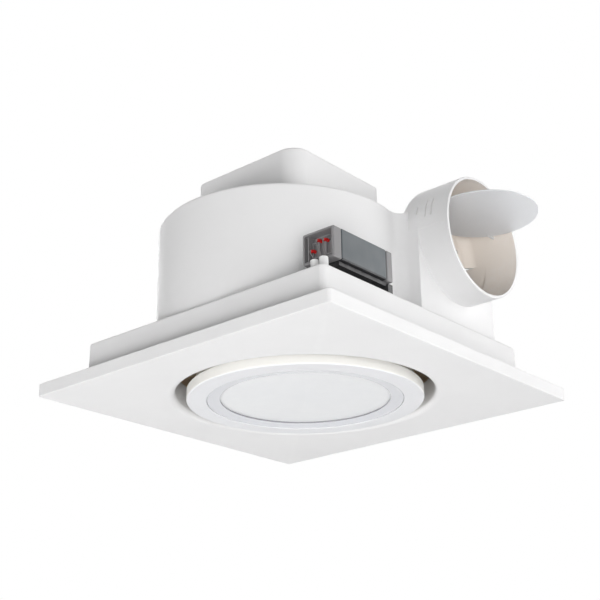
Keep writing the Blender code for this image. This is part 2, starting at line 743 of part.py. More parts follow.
def build_housing():
    housing = prism("fan_housing", scroll_outline(0), HOUSING_BASE, HOUSING_TOP)
    round_edges(housing, TOP_ROUND, 2, on_top)
    box_top = OUTLET_Z + BOX_STEP
    outlet_box = box("outlet_box", (BOX_LEFT, -BOX_FRONT, HOUSING_BASE), (BOX_RIGHT, -BOX_BACK, box_top))
    bar = barrel("outlet_barrel", SPIGOT_R, SPIGOT_END, ARCH_BACK, ARCH_ROUND)
    ears = []
    for k, (x, y) in enumerate(ear_places()):
        top = HOUSING_BASE + EAR_THICK
        ears.append(cylinder(f"housing_ear_{k}", EAR_R, HOUSING_BASE, top, (x, y, 0), SMALL_STEPS))
    unite(housing, outlet_box, bar, tongue_filler(), *ears)

    inside = prism("housing_inside", scroll_outline(HOUSING_WALL), HOUSING_BASE - OVERRUN, CEILING_IN)
    left, right = BOX_LEFT + HOUSING_WALL, BOX_RIGHT - HOUSING_WALL
    box_inside = box(
        "box_inside",
        (left, -BOX_FRONT + HOUSING_WALL, HOUSING_BASE - 2 * OVERRUN),
        (right, -BOX_BACK, box_top),
    )
    bore = barrel(
        "outlet_bore",
        SPIGOT_BORE_R,
        SPIGOT_END + OVERRUN,
        ARCH_BACK + SPIGOT_WALL,
        ARCH_ROUND - SPIGOT_WALL,
    )
    passage_y = -ARCH_BACK - SPIGOT_WALL - BITE
    passage = box(
        "outlet_passage",
        (OUTLET_X - PASSAGE_HALF, passage_y, OUTLET_Z - OVERRUN),
        (OUTLET_X + PASSAGE_HALF, passage_y + PASSAGE_DEEP, CEILING_IN - BITE / 2),
    )
    cut(housing, unite(inside, box_inside, bore, passage))

    flap_back = PIVOT_Y + FLAP_THICK / 2 + GAP
    flap_base = PIVOT_Z - PIVOT_UP - FLAP_R
    low = (OUTLET_X - STOP_HALF, flap_back, OUTLET_Z - SPIGOT_R + SPIGOT_WALL / 2)
    high = (OUTLET_X + STOP_HALF, flap_back + STOP_THICK, flap_base + STOP_GRIP)
    unite(housing, box("flap_stop", low, high))

    reach = SPIGOT_R + OVERRUN
    slits = [
        (PIVOT_Y - SLIT_APART, PIVOT_Z - SLIT_BELOW, PIVOT_Z + SLIT_ABOVE),
        (PIVOT_Y + SLIT_APART, PIVOT_Z - SLIT_BELOW, PIVOT_Z + SLIT_ABOVE),
        (PIVOT_Y + VENT_SLIT_BACK, PIVOT_Z - VENT_SLIT_BELOW, PIVOT_Z),
    ]
    for k, (y, low_z, high_z) in enumerate(slits):
        low = (OUTLET_X - reach, y - SLIT_WIDTH / 2, low_z)
        high = (OUTLET_X + reach, y + SLIT_WIDTH / 2, high_z)
        cut(housing, box(f"spigot_slit_{k}", low, high))
    deep = TRUNNION_REACH + GAP
    place = (OUTLET_X, PIVOT_Y, PIVOT_Z)
    along_x = (0, math.pi / 2, 0)
    cut(housing, cylinder("trunnion_pocket", TRUNNION_R + GAP, -deep, deep, place, SCREW_STEPS, along_x))

    over = HOUSING_TOP + OVERRUN
    under = CEILING_IN - OVERRUN
    cut(housing, cylinder("motor_opening", MOTOR_HOLE_R, under, over, (AXIS_X, AXIS_Y, 0), LARGE_STEPS))
    for k, (x, y) in enumerate(cover_screw_places()):
        cut(housing, screw_hole(f"cover_screw_hole_{k}", x, y, under, over))
    for k, (x, y) in enumerate(ear_places()):
        cut(housing, screw_hole(f"ear_hole_{k}", x, y, HOUSING_BASE - OVERRUN, HOUSING_BASE + 3 * OVERRUN))
    return finish(housing, WHITE)


def build_flap():
    """The flap in its open place, flat across the spigot's mouth, about an empty on its hinge."""
    hinge = bpy.data.objects.new("flap_hinge", None)
    hinge.location = (OUTLET_X, PIVOT_Y, PIVOT_Z)
    PARTS.objects.link(hinge)
    half = FLAP_THICK / 2
    flap = cylinder("backdraft_flap", FLAP_R, -half, half, (0, -PIVOT_UP, 0), LARGE_STEPS)
    pins = []
    for k, side in enumerate((1, -1)):
        ends = sorted((side * TRUNNION_ROOT, side * TRUNNION_REACH))
        along_x = (0, math.pi / 2, 0)
        pins.append(cylinder(f"flap_trunnion_{k}", TRUNNION_R, *ends, (0, 0, 0), SCREW_STEPS, along_x))
    for piece in (flap, *pins):
        piece.parent = hinge
    unite(flap, *pins)
    return finish(flap, MILKY)


def ring_screw_places():
    return [
        (AXIS_X + RING_SCREW_R * math.cos(a), AXIS_Y + RING_SCREW_R * math.sin(a)) for a in RING_SCREW_ANGLES
    ]


def build_inlet_ring():
    low = HOUSING_BASE
    outer_wall = arc(
        BELL_R,
        RING_TOP,
        BELL_R - THROAT_R - RING_THICK,
        math.pi,
        3 * math.pi / 2,
        5,
        BELL_RISE - RING_THICK,
    )
    inner_wall = arc(BELL_R, RING_TOP, BELL_R - THROAT_R, 3 * math.pi / 2, math.pi, 5, BELL_RISE)
    profile = [(RING_R, low + RING_THICK), (RING_R, low)] + inner_wall + outer_wall
    ring = turned("inlet_ring", profile, (AXIS_X, AXIS_Y, 0), LARGE_STEPS, closed=True)
    for k, (x, y) in enumerate(ring_screw_places()):
        cut(ring, screw_hole(f"ring_hole_{k}", x, y, low - OVERRUN, low + RING_THICK + OVERRUN))
        screw(f"inlet_ring_screw_{k + 1}", x, y, low + RING_THICK, SCREW_GRIP)
    return finish(ring, WHITE)


def blade_outline():
    """One blade in plan: a band that sweeps forward as it goes out."""
    steps = 3
    outer_side, inner_side = [], []
    for k in range(steps + 1):
        t = k / steps
        radius = BLADE_IN_R + (WHEEL_R - BITE / 2 - BLADE_IN_R) * t
        angle = -BLADE_SWEEP * t**2
        lean = BLADE_THICK / 2 / radius
        outer_side.append((radius * math.cos(angle + lean), radius * math.sin(angle + lean)))
        inner_side.append((radius * math.cos(angle - lean), radius * math.sin(angle - lean)))
    return inner_side + outer_side[::-1]


def build_wheel(axle):
    """A back plate with a hub, and under it a cage of blades on an eye ring."""
    plate_base = WHEEL_TOP - WHEEL_THICK
    bore_r = SHAFT_R + GAP
    profile = [
        (HUB_R, HUB_TOP),
        (HUB_R, WHEEL_TOP),
        (WHEEL_R, WHEEL_TOP),
        (WHEEL_R, plate_base),
        (HUB_R, plate_base),
        (HUB_R, HUB_BASE),
        (bore_r, HUB_BASE),
        (bore_r, HUB_TOP),
    ]
    wheel = turned("impeller", profile, (0, 0, 0), LARGE_STEPS, closed=True)
    ring_top = WHEEL_BASE + WHEEL_THICK
    eye_ring = turned(
        "wheel_eye_ring",
        [(WHEEL_R, ring_top), (WHEEL_R, WHEEL_BASE), (EYE_R, WHEEL_BASE), (EYE_R, ring_top)],
        (0, 0, 0),
        LARGE_STEPS,
        closed=True,
    )
    blades = prism("impeller_blades", blade_outline(), WHEEL_BASE + BITE / 2, plate_base - GAP)
    bm = bmesh.new()
    for k in range(BLADE_COUNT):
        start = len(bm.verts)
        bm.from_mesh(blades.data)
        bm.verts.ensure_lookup_table()
        turn = Matrix.Rotation(2 * math.pi * k / BLADE_COUNT, 4, "Z")
        bmesh.ops.transform(bm, matrix=turn, verts=bm.verts[start:])
    bm.to_mesh(blades.data)
    bm.free()
    for piece in (wheel, eye_ring, blades):
        piece.parent = axle
    unite(blades, eye_ring)
    finish(blades, IVORY)
    return finish(wheel, IVORY)


def build_rotor():
    """Wheel, nut, shaft and rotor about an empty on the motor's axis."""
    axle = bpy.data.objects.new("motor_axle", None)
    axle.location = (AXIS_X, AXIS_Y, 0)
    PARTS.objects.link(axle)
    build_wheel(axle)
    bore_r = SHAFT_R + GAP
    nut = cylinder("impeller_nut", NUT_R, NUT_BASE, NUT_BASE + NUT_THICK, (0, 0, 0), 6)
    nut_bore = cylinder(
        "nut_bore", bore_r, NUT_BASE - OVERRUN, NUT_BASE + NUT_THICK + OVERRUN, (0, 0, 0), SMALL_STEPS
    )
    shaft_top = STATOR_TOP + GAP + SHIELD_RIM - SHIELD_WALL + GAP
    shaft = cylinder("motor_shaft", SHAFT_R, NUT_BASE - SHAFT_BELOW_NUT, shaft_top, (0, 0, 0), SMALL_STEPS)
    core_base = STATOR_BASE + (STATOR_HIGH - ROTOR_HIGH) / 2
    core_top = core_base + ROTOR_HIGH
    core = turned(
        "rotor_core",
        [(ROTOR_R, core_top), (ROTOR_R, core_base), (bore_r, core_base), (bore_r, core_top)],
        (0, 0, 0),
        MEDIUM_STEPS,
        closed=True,
    )
    for piece in (nut, nut_bore, shaft, core):
        piece.parent = axle
    cut(nut, nut_bore)
    finish(nut, STEEL)
    finish(shaft, STEEL)
    finish(core, STEEL)


def build_motor():
    """Stator, windings, end shields and bearings, fixed on the plate under the drum's top."""
    place = (AXIS_X, AXIS_Y, 0)
    pocket_r = BEARING_R + GAP
    inner_r = MOTOR_R - SHIELD_WALL
    boss_base = SHIELD_BASE - BOSS_DOWN
    pocket_top = boss_base + BEARING_HIGH + 2 * GAP
    floor_top = SHIELD_BASE + SHIELD_FLOOR
    rim_top = SHIELD_BASE + SHIELD_RIM
    lower = [
        (MOTOR_R, rim_top),
        (MOTOR_R, SHIELD_BASE),
        (BEARING_BOSS_R, SHIELD_BASE),
        (BEARING_BOSS_R, boss_base),
        (pocket_r, boss_base),
        (pocket_r, pocket_top),
        (SHAFT_HOLE_R, pocket_top),
        (SHAFT_HOLE_R, floor_top),
        (inner_r, floor_top),
        (inner_r, rim_top),
    ]
    shield = turned("end_shield_lower", lower, place, MEDIUM_STEPS, closed=True)
    for k, (x, y) in enumerate(motor_screw_places()):
        cut(shield, screw_hole(f"shield_hole_{k}", x, y, SHIELD_BASE - OVERRUN, floor_top + OVERRUN))
    finish(shield, METAL)

    rim_base = STATOR_TOP + GAP
    roof = rim_base + SHIELD_RIM - SHIELD_WALL
    roof_base = roof - SHIELD_WALL
    boss_top = roof + BOSS_UP
    bearing_base = boss_top - BEARING_ROOF - BEARING_HIGH
    upper = [
        (0, boss_top),
        (BEARING_BOSS_R, boss_top),
        (BEARING_BOSS_R, roof),
        (MOTOR_R, roof),
        (MOTOR_R, rim_base),
        (inner_r, rim_base),
        (inner_r, roof_base),
        (BEARING_BOSS_R, roof_base),
        (BEARING_BOSS_R, bearing_base - GAP),
        (pocket_r, bearing_base - GAP),
        (pocket_r, bearing_base + BEARING_HIGH + GAP),
        (0, bearing_base + BEARING_HIGH + GAP),
    ]
    finish(turned("end_shield_upper", upper, place, MEDIUM_STEPS), METAL)

    bore_r = SHAFT_R + GAP
    for name, low in (("bearing_lower", boss_base + GAP), ("bearing_upper", bearing_base)):
        high = low + BEARING_HIGH
        profile = [(BEARING_R, high), (BEARING_R, low), (bore_r, low), (bore_r, high)]
        finish(turned(name, profile, place, SMALL_STEPS, closed=True), STEEL)

    profile = [
        (MOTOR_R, STATOR_TOP),
        (MOTOR_R, STATOR_BASE),
        (STATOR_BORE_R, STATOR_BASE),
        (STATOR_BORE_R, STATOR_TOP),
    ]
    finish(turned("stator_core", profile, place, MEDIUM_STEPS, closed=True), STEEL)
    windings = (
        ("stator_winding_lower", STATOR_BASE - GAP - WINDING_HIGH),
        ("stator_winding_upper", STATOR_TOP + GAP),
    )
    round_r = WINDING_HIGH / 4
    for name, low in windings:
        high = low + WINDING_HIGH
        profile = [
            (WINDING_OUT_R - round_r, high),
            (WINDING_OUT_R, high - round_r),
            (WINDING_OUT_R, low + round_r),
            (WINDING_OUT_R - round_r, low),
            (WINDING_IN_R + round_r, low),
            (WINDING_IN_R, low + round_r),
            (WINDING_IN_R, high - round_r),
            (WINDING_IN_R + round_r, high),
        ]
        finish(turned(name, profile, place, MEDIUM_STEPS, closed=True), COPPER)

    plate = turned(
        "motor_plate",
        [(PLATE_R, PLATE_TOP), (PLATE_R, PLATE_BASE), (PLATE_BORE_R, PLATE_BASE), (PLATE_BORE_R, PLATE_TOP)],
        place,
        MEDIUM_STEPS,
        closed=True,
    )
    holes = motor_screw_places() + cover_screw_places()
    for k, (x, y) in enumerate(holes):
        cut(plate, screw_hole(f"motor_plate_hole_{k}", x, y, PLATE_BASE - OVERRUN, PLATE_TOP + OVERRUN))
    finish(plate, METAL)
    grip = SHIELD_BASE + SHIELD_FLOOR - GAP - PLATE_BASE
    for k, (x, y) in enumerate(motor_screw_places()):
        screw(f"motor_screw_{k + 1}", x, y, PLATE_BASE, grip, up=False)
    grip = COVER_BASE + COVER_HOLE_DEEP - OVERRUN - PLATE_BASE
    for k, (x, y) in enumerate(cover_screw_places()):
        screw(f"cover_screw_{k + 1}", x, y, PLATE_BASE, grip, up=False)


def motor_screw_places():
    turns = [2 * math.pi * k / 3 for k in range(3)]
    return [(AXIS_X + MOTOR_SCREW_AT * math.cos(a), AXIS_Y + MOTOR_SCREW_AT * math.sin(a)) for a in turns]


def cover_screw_places():
    return [(AXIS_X + x * COVER_BOSS_AT, AXIS_Y + y * COVER_BOSS_AT) for x, y in corner_sides()]


def build_cover():
    place = (AXIS_X + COVER_ASIDE.x, AXIS_Y + COVER_ASIDE.y)
    plan = rounded_square(COVER_HALF, COVER_CORNER, 6, COVER_SIDE_CORNER)
    cover = prism("motor_cover", plan, COVER_BASE, COVER_TOP, place)
    taper(cover, COVER_TOP_SHARE)
    round_edges(cover, COVER_EDGE, 3, on_top)
    inner = COVER_HALF - COVER_WALL
    roof = COVER_TOP - COVER_WALL
    hollow = prism(
        "cover_hollow",
        rounded_square(inner, COVER_CORNER - COVER_WALL, 6, COVER_SIDE_CORNER - COVER_WALL),
        COVER_BASE - OVERRUN,
        roof,
        place,
    )
    taper(hollow, COVER_TOP_SHARE)
    cut(cover, hollow)
    for k, (x, y) in enumerate(cover_screw_places()):
        boss = cylinder(
            f"cover_boss_{k}", COVER_BOSS_R, COVER_BASE, roof + BITE, (x, y, 0), SCREW_STEPS
        )
        unite(cover, boss)
    for k, (x, y) in enumerate(cover_screw_places()):
        top = COVER_BASE + COVER_HOLE_DEEP
        cut(cover, screw_hole(f"cover_boss_hole_{k}", x, y, COVER_BASE - OVERRUN, top))
    return finish(cover, WHITE)


def build_lamp():
    """Trim ring, clear ring, diffuser, pan and light board, stacked about the inlet's middle."""
    step_r = TRIM_IN_R + TRIM_STEP
    step_z = LAMP_FACE + TRIM_STEP_UP
    skirt_top = TRIM_TOP + TRIM_SKIRT_UP
    skirt_in = TRIM_OUT_R - TRIM_SKIRT_WALL
    trim = [
        (skirt_in, TRIM_TOP),
        (skirt_in, skirt_top),
        (TRIM_OUT_R - TRIM_EDGE, skirt_top),
        (TRIM_OUT_R, skirt_top - TRIM_EDGE),
        (TRIM_OUT_R, LAMP_FACE + TRIM_EDGE),
        (TRIM_OUT_R - TRIM_EDGE, LAMP_FACE),
        (TRIM_IN_R, LAMP_FACE),
        (TRIM_IN_R, step_z),
        (step_r, step_z),
        (step_r, TRIM_TOP),
    ]
    finish(turned("lamp_trim_ring", trim, closed=True), WHITE)

    lens_face = LAMP_FACE + LENS_RECESS
    lens = [
        (step_r - GAP, TRIM_TOP),
        (step_r - GAP, step_z + GAP),
        (TRIM_IN_R - GAP, step_z + GAP),
        (TRIM_IN_R - GAP, lens_face),
        (LENS_IN_R, TRIM_TOP - LENS_EDGE),
        (LENS_IN_R, TRIM_TOP),
    ]
    finish(turned("lamp_lens_ring", lens, closed=True), CLEAR)

    rim_r = LAMP_LIP_R - GAP
    diffuser_top = LAMP_BASE + DIFFUSER_THICK
    diffuser = [(0, diffuser_top), (rim_r, diffuser_top), (rim_r, LAMP_BASE), (0, LAMP_BASE)]
    finish(turned("lamp_diffuser", diffuser), OPAL)

    lip_top = LAMP_BASE + LAMP_LIP_THICK
    back = LAMP_TOP - LAMP_WALL
    pan = [
        (0, LAMP_TOP),
        (LAMP_R, LAMP_TOP),
        (LAMP_R, LAMP_BASE),
        (LAMP_LIP_R, LAMP_BASE),
        (LAMP_LIP_R, lip_top),
        (LAMP_R - LAMP_WALL, lip_top),
        (LAMP_R - LAMP_WALL, back),
        (0, back),
    ]
    body = turned("lamp_body", pan)
    gland = cylinder(
        "lamp_gland", LAMP_LEAD_R + LEAD_CLEAR, back - OVERRUN, LAMP_TOP + OVERRUN, (*GLAND_AT, 0)
    )
    cut(body, gland)
    for k, (x, y) in enumerate(lamp_screw_places()):
        cut(body, screw_hole(f"lamp_back_hole_{k}", x, y, back - OVERRUN, LAMP_TOP + OVERRUN))
    finish(body, CREAM)
    board_top = back - GAP
    board = cylinder("led_board", BOARD_R, board_top - BOARD_THICK, board_top, (0, 0, 0), MEDIUM_STEPS)
    finish(board, BOARD)


def spider_places():
    return [(POST_AT, 0), (0, POST_AT), (-POST_AT, 0), (0, -POST_AT)]


def lamp_screw_places():
    turns = [math.pi / 4 + math.pi / 2 + 2 * math.pi * k / 3 for k in range(3)]
    return [(LAMP_SCREW_AT * math.cos(a), LAMP_SCREW_AT * math.sin(a)) for a in turns]


def build_spider():
    """Crossed bars on the fascia's posts, with a boss that stands on the lamp's back."""
    reach = POST_AT + SPIDER_OVER
    side = SPIDER_WIDTH / 2
    spider = box("lamp_spider", (-reach, -side, SPIDER_BASE), (reach, side, SPIDER_TOP))
    bar = box("spider_bar", (-side, -reach, SPIDER_BASE), (side, reach, SPIDER_TOP))
    boss = cylinder(
        "spider_boss", SPIDER_BOSS_R, LAMP_TOP + GAP, SPIDER_TOP - GAP, (0, 0, 0), MEDIUM_STEPS
    )
    unite(spider, bar, boss)
    places = spider_places() + lamp_screw_places()
    for k, (x, y) in enumerate(places):
        cut(spider, screw_hole(f"spider_hole_{k}", x, y, LAMP_TOP - OVERRUN, SPIDER_TOP + OVERRUN))
    finish(spider, METAL)
    for k, (x, y) in enumerate(spider_places()):
        screw(f"spider_screw_{k + 1}", x, y, SPIDER_TOP, SCREW_GRIP * 2)
    length = SPIDER_TOP + GAP - (LAMP_TOP - LAMP_WALL)
    for k, (x, y) in enumerate(lamp_screw_places()):
        screw(f"lamp_screw_{k + 1}", x, y, SPIDER_TOP, length)


def cradle_screw_places():
    y = DRIVER_HIGH.y - CRADLE_SET_BACK - CRADLE_LEG / 2
    start = DRIVER_LOW.x + NEAR_CAP_LONG
    end = DRIVER_HIGH.x - FAR_CAP_LONG
    quarter = (end - start) / 4
    return [(start + quarter, y), (end - quarter, y)]


def build_driver():
    """The lamp's driver: case, two end caps, board and terminals, on a black cradle."""
    low, high = DRIVER_LOW, DRIVER_HIGH
    near_end = low.x + NEAR_CAP_LONG
    far_start = high.x - FAR_CAP_LONG
    case_high = (far_start - CAP_GROOVE, high.y, high.z)
    case = box("driver_case", (near_end + GAP, low.y, low.z), case_high)
    round_edges(case, DRIVER_EDGE, 2, any_edge)
    walls = Vector((0, DRIVER_WALL, DRIVER_WALL))
    case_low = Vector((near_end - OVERRUN, low.y, low.z)) + walls
    case_end = Vector((far_start + OVERRUN, high.y, high.z)) - walls
    cut(case, box("case_hollow", case_low, case_end))
    finish(case, SLATE)

    near_cap = box("driver_cap_near", low, (near_end, high.y, high.z))
    round_edges(near_cap, DRIVER_EDGE, 2, any_edge)
    hollow_low = (low.x - OVERRUN, low.y + CAP_WALL, low.z + CAP_WALL)
    hollow_high = (near_end - CAP_FLOOR, high.y - CAP_WALL, high.z - CAP_WALL)
    cut(near_cap, box("near_cap_hollow", hollow_low, hollow_high))
    finish(near_cap, GREY)

    far_cap = box("driver_cap_far", (far_start, low.y, low.z), high)
    round_edges(far_cap, DRIVER_EDGE, 2, any_edge)
    plug = box(
        "far_cap_plug",
        Vector((far_start - CAP_GROOVE - OVERRUN, low.y + GAP, low.z + GAP)) + walls,
        Vector((far_start + BITE, high.y - GAP, high.z - GAP)) - walls,
    )
    unite(far_cap, plug)
    finish(far_cap, GREY)

    board_z = low.z + DRIVER_SIZE.z / 3
    board = box(
        "driver_board",
        (near_end + BOARD_INSET, low.y + DRIVER_WALL + GAP, board_z),
        (far_start - BOARD_INSET, high.y - DRIVER_WALL - GAP, board_z + BOARD_THICK),
    )
    finish(board, BOARD)

    back = near_end - CAP_FLOOR - GAP
    terminals = box(
        "driver_terminals",
        (back - TERMINAL_THICK, low.y + TERMINAL_IN, low.z + TERMINAL_IN),
        (back, low.y + TERMINAL_IN + TERMINAL_WIDTH, low.z + TERMINAL_IN + TERMINAL_HIGH),
    )
    finish(terminals, GREY)
    build_cradle(low, high, near_end)


def build_cradle(low, high, near_end):
    """A black saddle: a plate under the case, a rear leg and a foot below the far cap."""
    top = low.z - GAP
    rear = high.y - CRADLE_SET_BACK
    plate_low = (near_end, low.y + CRADLE_SET_BACK, top - CRADLE_THICK)
    cradle = box("driver_cradle", plate_low, (high.x, rear, top))
    leg_low = (near_end, rear - CRADLE_LEG, FRAME_RISE + GAP)
    leg = box("cradle_leg", leg_low, (high.x - FAR_CAP_LONG, rear, top - BITE))
    foot_front = low.y + CRADLE_SET_BACK / 2
    foot = box(
        "cradle_foot",
        (high.x - CRADLE_FOOT, foot_front, FRAME_RISE + GAP),
        (high.x + BITE, foot_front + CRADLE_FOOT_DEEP, top - BITE),
    )
    unite(cradle, leg, foot)
    for k, (x, y) in enumerate(cradle_screw_places()):
        hole_top = FRAME_RISE + SCREW_GRIP
        cut(cradle, screw_hole(f"cradle_hole_{k}", x, y, FRAME_RISE - OVERRUN, hole_top))
        grip = FRAME_WALL + SCREW_GRIP - BITE
        screw(f"cradle_screw_{k + 1}", x, y, FRAME_RISE - FRAME_WALL, grip, up=False)
    finish(cradle, BLACK)


def build_leads():
    """Two white leads through the frame's top plate, and the red cores at the driver's terminals."""
    plate_base = FRAME_RISE - FRAME_WALL
    top = DRIVER_LOW.z - GAP
    board_top = LAMP_TOP - LAMP_WALL
    over_collar = INLET_RISE + 2 * LAMP_LEAD_R
    gland_x, gland_y = GLAND_AT
    route = [
        (LEAD_X, LAMP_LEAD_Y, top),
        (LEAD_X, LAMP_LEAD_Y, plate_base),
        (LEAD_X + 2 * LAMP_LEAD_R, LAMP_LEAD_Y + 2 * LAMP_LEAD_R, over_collar),
        ((LEAD_X + gland_x) / 2, (LAMP_LEAD_Y + gland_y) / 2, over_collar),
        (gland_x - LAMP_LEAD_R, gland_y - LAMP_LEAD_R, over_collar),
        (gland_x, gland_y, LAMP_TOP + LAMP_LEAD_R),
        (gland_x, gland_y, board_top),
    ]
    finish(tube("lamp_lead", smooth_route(route), LAMP_LEAD_R), WHITE_RUBBER)

    block_x, block_y = SUPPLY_BLOCK_AT
    size = SUPPLY_BLOCK
    block_top = plate_base - GAP
    block_low = (block_x - size.x / 2, block_y - size.y / 2, block_top - size.z)
    block_high = (block_x + size.x / 2, block_y + size.y / 2, block_top)
    finish(box("supply_terminal", block_low, block_high), IVORY)
    block_middle = block_top - size.z / 2
    route = [
        (LEAD_X, SUPPLY_LEAD_Y, top),
        (LEAD_X, SUPPLY_LEAD_Y, plate_base),
        (LEAD_X + SUPPLY_LEAD_R, SUPPLY_LEAD_Y + 2 * SUPPLY_LEAD_R, block_middle),
        (block_x - size.x / 4, block_low[1] - 4 * SUPPLY_LEAD_R, block_middle),
        (block_x - size.x / 4, block_low[1] - 2 * SUPPLY_LEAD_R, block_middle),
        (block_x - size.x / 4, block_low[1] - GAP, block_middle),
    ]
    finish(tube("supply_lead", smooth_route(route), SUPPLY_LEAD_R), WHITE_RUBBER)

    terminal_x = DRIVER_LOW.x + NEAR_CAP_LONG - CAP_FLOOR - GAP - TERMINAL_THICK
    core_end = terminal_x - GAP
    start_z = top + GAP
    first_y = DRIVER_LOW.y + TERMINAL_IN + TERMINAL_WIDTH / 6
    sources = (LAMP_LEAD_Y - CORE_SPREAD, LAMP_LEAD_Y + CORE_SPREAD, SUPPLY_LEAD_Y)
    for k, (source_y, share) in enumerate(zip(sources, CORE_HEIGHT_SHARES)):
        end_y = first_y + k * TERMINAL_WIDTH / 3
        end_z = DRIVER_LOW.z + TERMINAL_IN + TERMINAL_HIGH * share
        route = [
            (LEAD_X, source_y, start_z),
            (LEAD_X, (2 * source_y + end_y) / 3, (2 * start_z + end_z) / 3),
            (LEAD_X + CORE_R, end_y, end_z - 2 * CORE_R),
            (core_end - 2 * CORE_R, end_y, end_z),
            (core_end, end_y, end_z),
        ]
        finish(tube(f"lead_core_{k + 1}", smooth_route(route), CORE_R), RED)


clear_scene()
PARTS = new_collection("ceiling_fan")
CUTTERS = new_collection("cutters")
WHITE = material("white_plastic", (0.86, 0.86, 0.85), 0.42)
IVORY = material("ivory_plastic", (0.80, 0.78, 0.72), 0.5)
CREAM = material("cream_paint", (0.86, 0.84, 0.78), 0.45)
MILKY = material("milky_plastic", (0.82, 0.84, 0.86), 0.4, alpha=0.8)
CLEAR = material("clear_plastic", (0.90, 0.92, 0.95), 0.08, alpha=0.35)
OPAL = material("opal_plastic", (0.84, 0.86, 0.88), 0.5)
GREY = material("grey_plastic", (0.33, 0.33, 0.34), 0.5)
SLATE = material("slate_plastic", (0.13, 0.15, 0.17), 0.5)
BLACK = material("black_plastic", (0.02, 0.02, 0.02), 0.55)
RED = material("red_insulation", (0.55, 0.02, 0.02), 0.4)
WHITE_RUBBER = material("white_lead", (0.85, 0.85, 0.85), 0.45)
BOARD = material("circuit_board", (0.80, 0.82, 0.80), 0.5)
STEEL = material("steel", (0.55, 0.55, 0.56), 0.35, 1.0)
METAL = material("zinc_plate", (0.62, 0.63, 0.65), 0.4, 1.0)
COPPER = material("enamelled_copper", (0.60, 0.26, 0.12), 0.4, 1.0)

build_fascia()
build_frame()
build_housing()
build_flap()
build_inlet_ring()
build_rotor()
build_motor()
build_cover()
build_lamp()
build_spider()
build_driver()
build_leads()
for number, (ear_x, ear_y) in enumerate(ear_places()):
    screw(f"housing_screw_{number + 1}", ear_x, ear_y, HOUSING_BASE + EAR_THICK, SCREW_GRIP)
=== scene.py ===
"""Looks of a square ceiling extractor fan with a round lamp and a side duct outlet.

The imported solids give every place. Each sub-assembly is a class that works out its surfaces as whole
arrays and gives them their finishes. Metres, Z up; Z = 0 is the ceiling's underside.
"""

import logging
import math
from collections.abc import Callable
from dataclasses import dataclass, replace
from enum import Enum
from functools import reduce
from itertools import product
from types import MappingProxyType

import bmesh
import bpy
import numpy as np
from mathutils import Matrix, Vector


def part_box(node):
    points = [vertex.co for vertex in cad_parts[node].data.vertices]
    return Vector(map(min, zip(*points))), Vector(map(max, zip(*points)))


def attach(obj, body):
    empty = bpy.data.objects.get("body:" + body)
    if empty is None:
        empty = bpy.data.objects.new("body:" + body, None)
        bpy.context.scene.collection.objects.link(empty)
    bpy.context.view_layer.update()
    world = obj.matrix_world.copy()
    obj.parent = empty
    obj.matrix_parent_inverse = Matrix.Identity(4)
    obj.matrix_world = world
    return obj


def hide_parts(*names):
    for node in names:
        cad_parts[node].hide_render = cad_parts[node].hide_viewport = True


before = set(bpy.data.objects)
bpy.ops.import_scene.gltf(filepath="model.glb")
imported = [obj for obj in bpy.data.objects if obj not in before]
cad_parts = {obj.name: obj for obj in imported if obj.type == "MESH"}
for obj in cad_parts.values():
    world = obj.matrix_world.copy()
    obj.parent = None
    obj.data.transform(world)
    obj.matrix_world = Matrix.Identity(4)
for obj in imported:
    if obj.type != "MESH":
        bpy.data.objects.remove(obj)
log = logging.getLogger("ceiling_fan")
FULL_TURN = 2 * math.pi
SAME_PLACE = 5e-6
AXIS_HOLE = 0.001
OVERRUN = 0.002
BITE = 0.0005
FINE_EDGE = 0.0003
FOUR_WAYS = tuple(product((1, -1), repeat=2))
MOTOR_AXIS = (-0.009, 0.009)


class Body(Enum):
    """The moving bodies that a piece can ride on."""

    CASING = "casing"
    FLAP = "flap"


class Join(Enum):
    """What becomes of a tool's form."""

    CUT = "DIFFERENCE"
    ADD = "UNION"


# Surfaces


def polar(radius: np.ndarray, angle: np.ndarray) -> np.ndarray:
    """Points at radius and angle, as x = r cos a and y = r sin a.

    Args:
        radius: One radius, or one for each angle.
        angle: Angles in radians.

    Returns:
        An array with x and y in its last axis.
    """
    return np.stack([radius * np.cos(angle), radius * np.sin(angle)], axis=-1)


def full_circle(count: int) -> np.ndarray:
    """Angles of a full turn, each in the middle of its own step, so that they match a square's corners.

    Args:
        count: How many angles, a multiple of four.

    Returns:
        The angles in radians.
    """
    return (np.arange(count) + 0.5) * FULL_TURN / count


def ellipse(centre: tuple, sizes: tuple, start: float, end: float, count: int) -> np.ndarray:
    """An elliptic arc, as the centre plus the two sizes times cos a and sin a.

    Args:
        centre: Its centre.
        sizes: Half of its width and of its height.
        start: First angle.
        end: Last angle.
        count: How many points.

    Returns:
        The points.
    """
    return np.asarray(centre) + polar(1.0, np.linspace(start, end, count)) * sizes


def quarters(count: int) -> tuple:
    """The corner that each point of a rounded square belongs to, and its place on that corner's unit arc.

    Args:
        count: Points in all, a multiple of four.

    Returns:
        The corners' signs and the arcs' points, both of shape (count, 2).
    """
    each = count // 4
    turn = np.repeat(np.arange(4), each) * math.pi / 2 + np.tile(np.linspace(0, math.pi / 2, each), 4)
    return np.repeat([(1, 1), (-1, 1), (-1, -1), (1, -1)], each, axis=0), polar(1.0, turn)


def lifted(flat: np.ndarray, heights: np.ndarray) -> np.ndarray:
    """Rings from plans and the height of each.

    Args:
        flat: Plans of shape (rings, points, 2).
        heights: One height for each ring.

    Returns:
        Rings of shape (rings, points, 3).
    """
    return np.concatenate([flat, np.broadcast_to(heights[:, None, None], (*flat.shape[:2], 1))], axis=2)


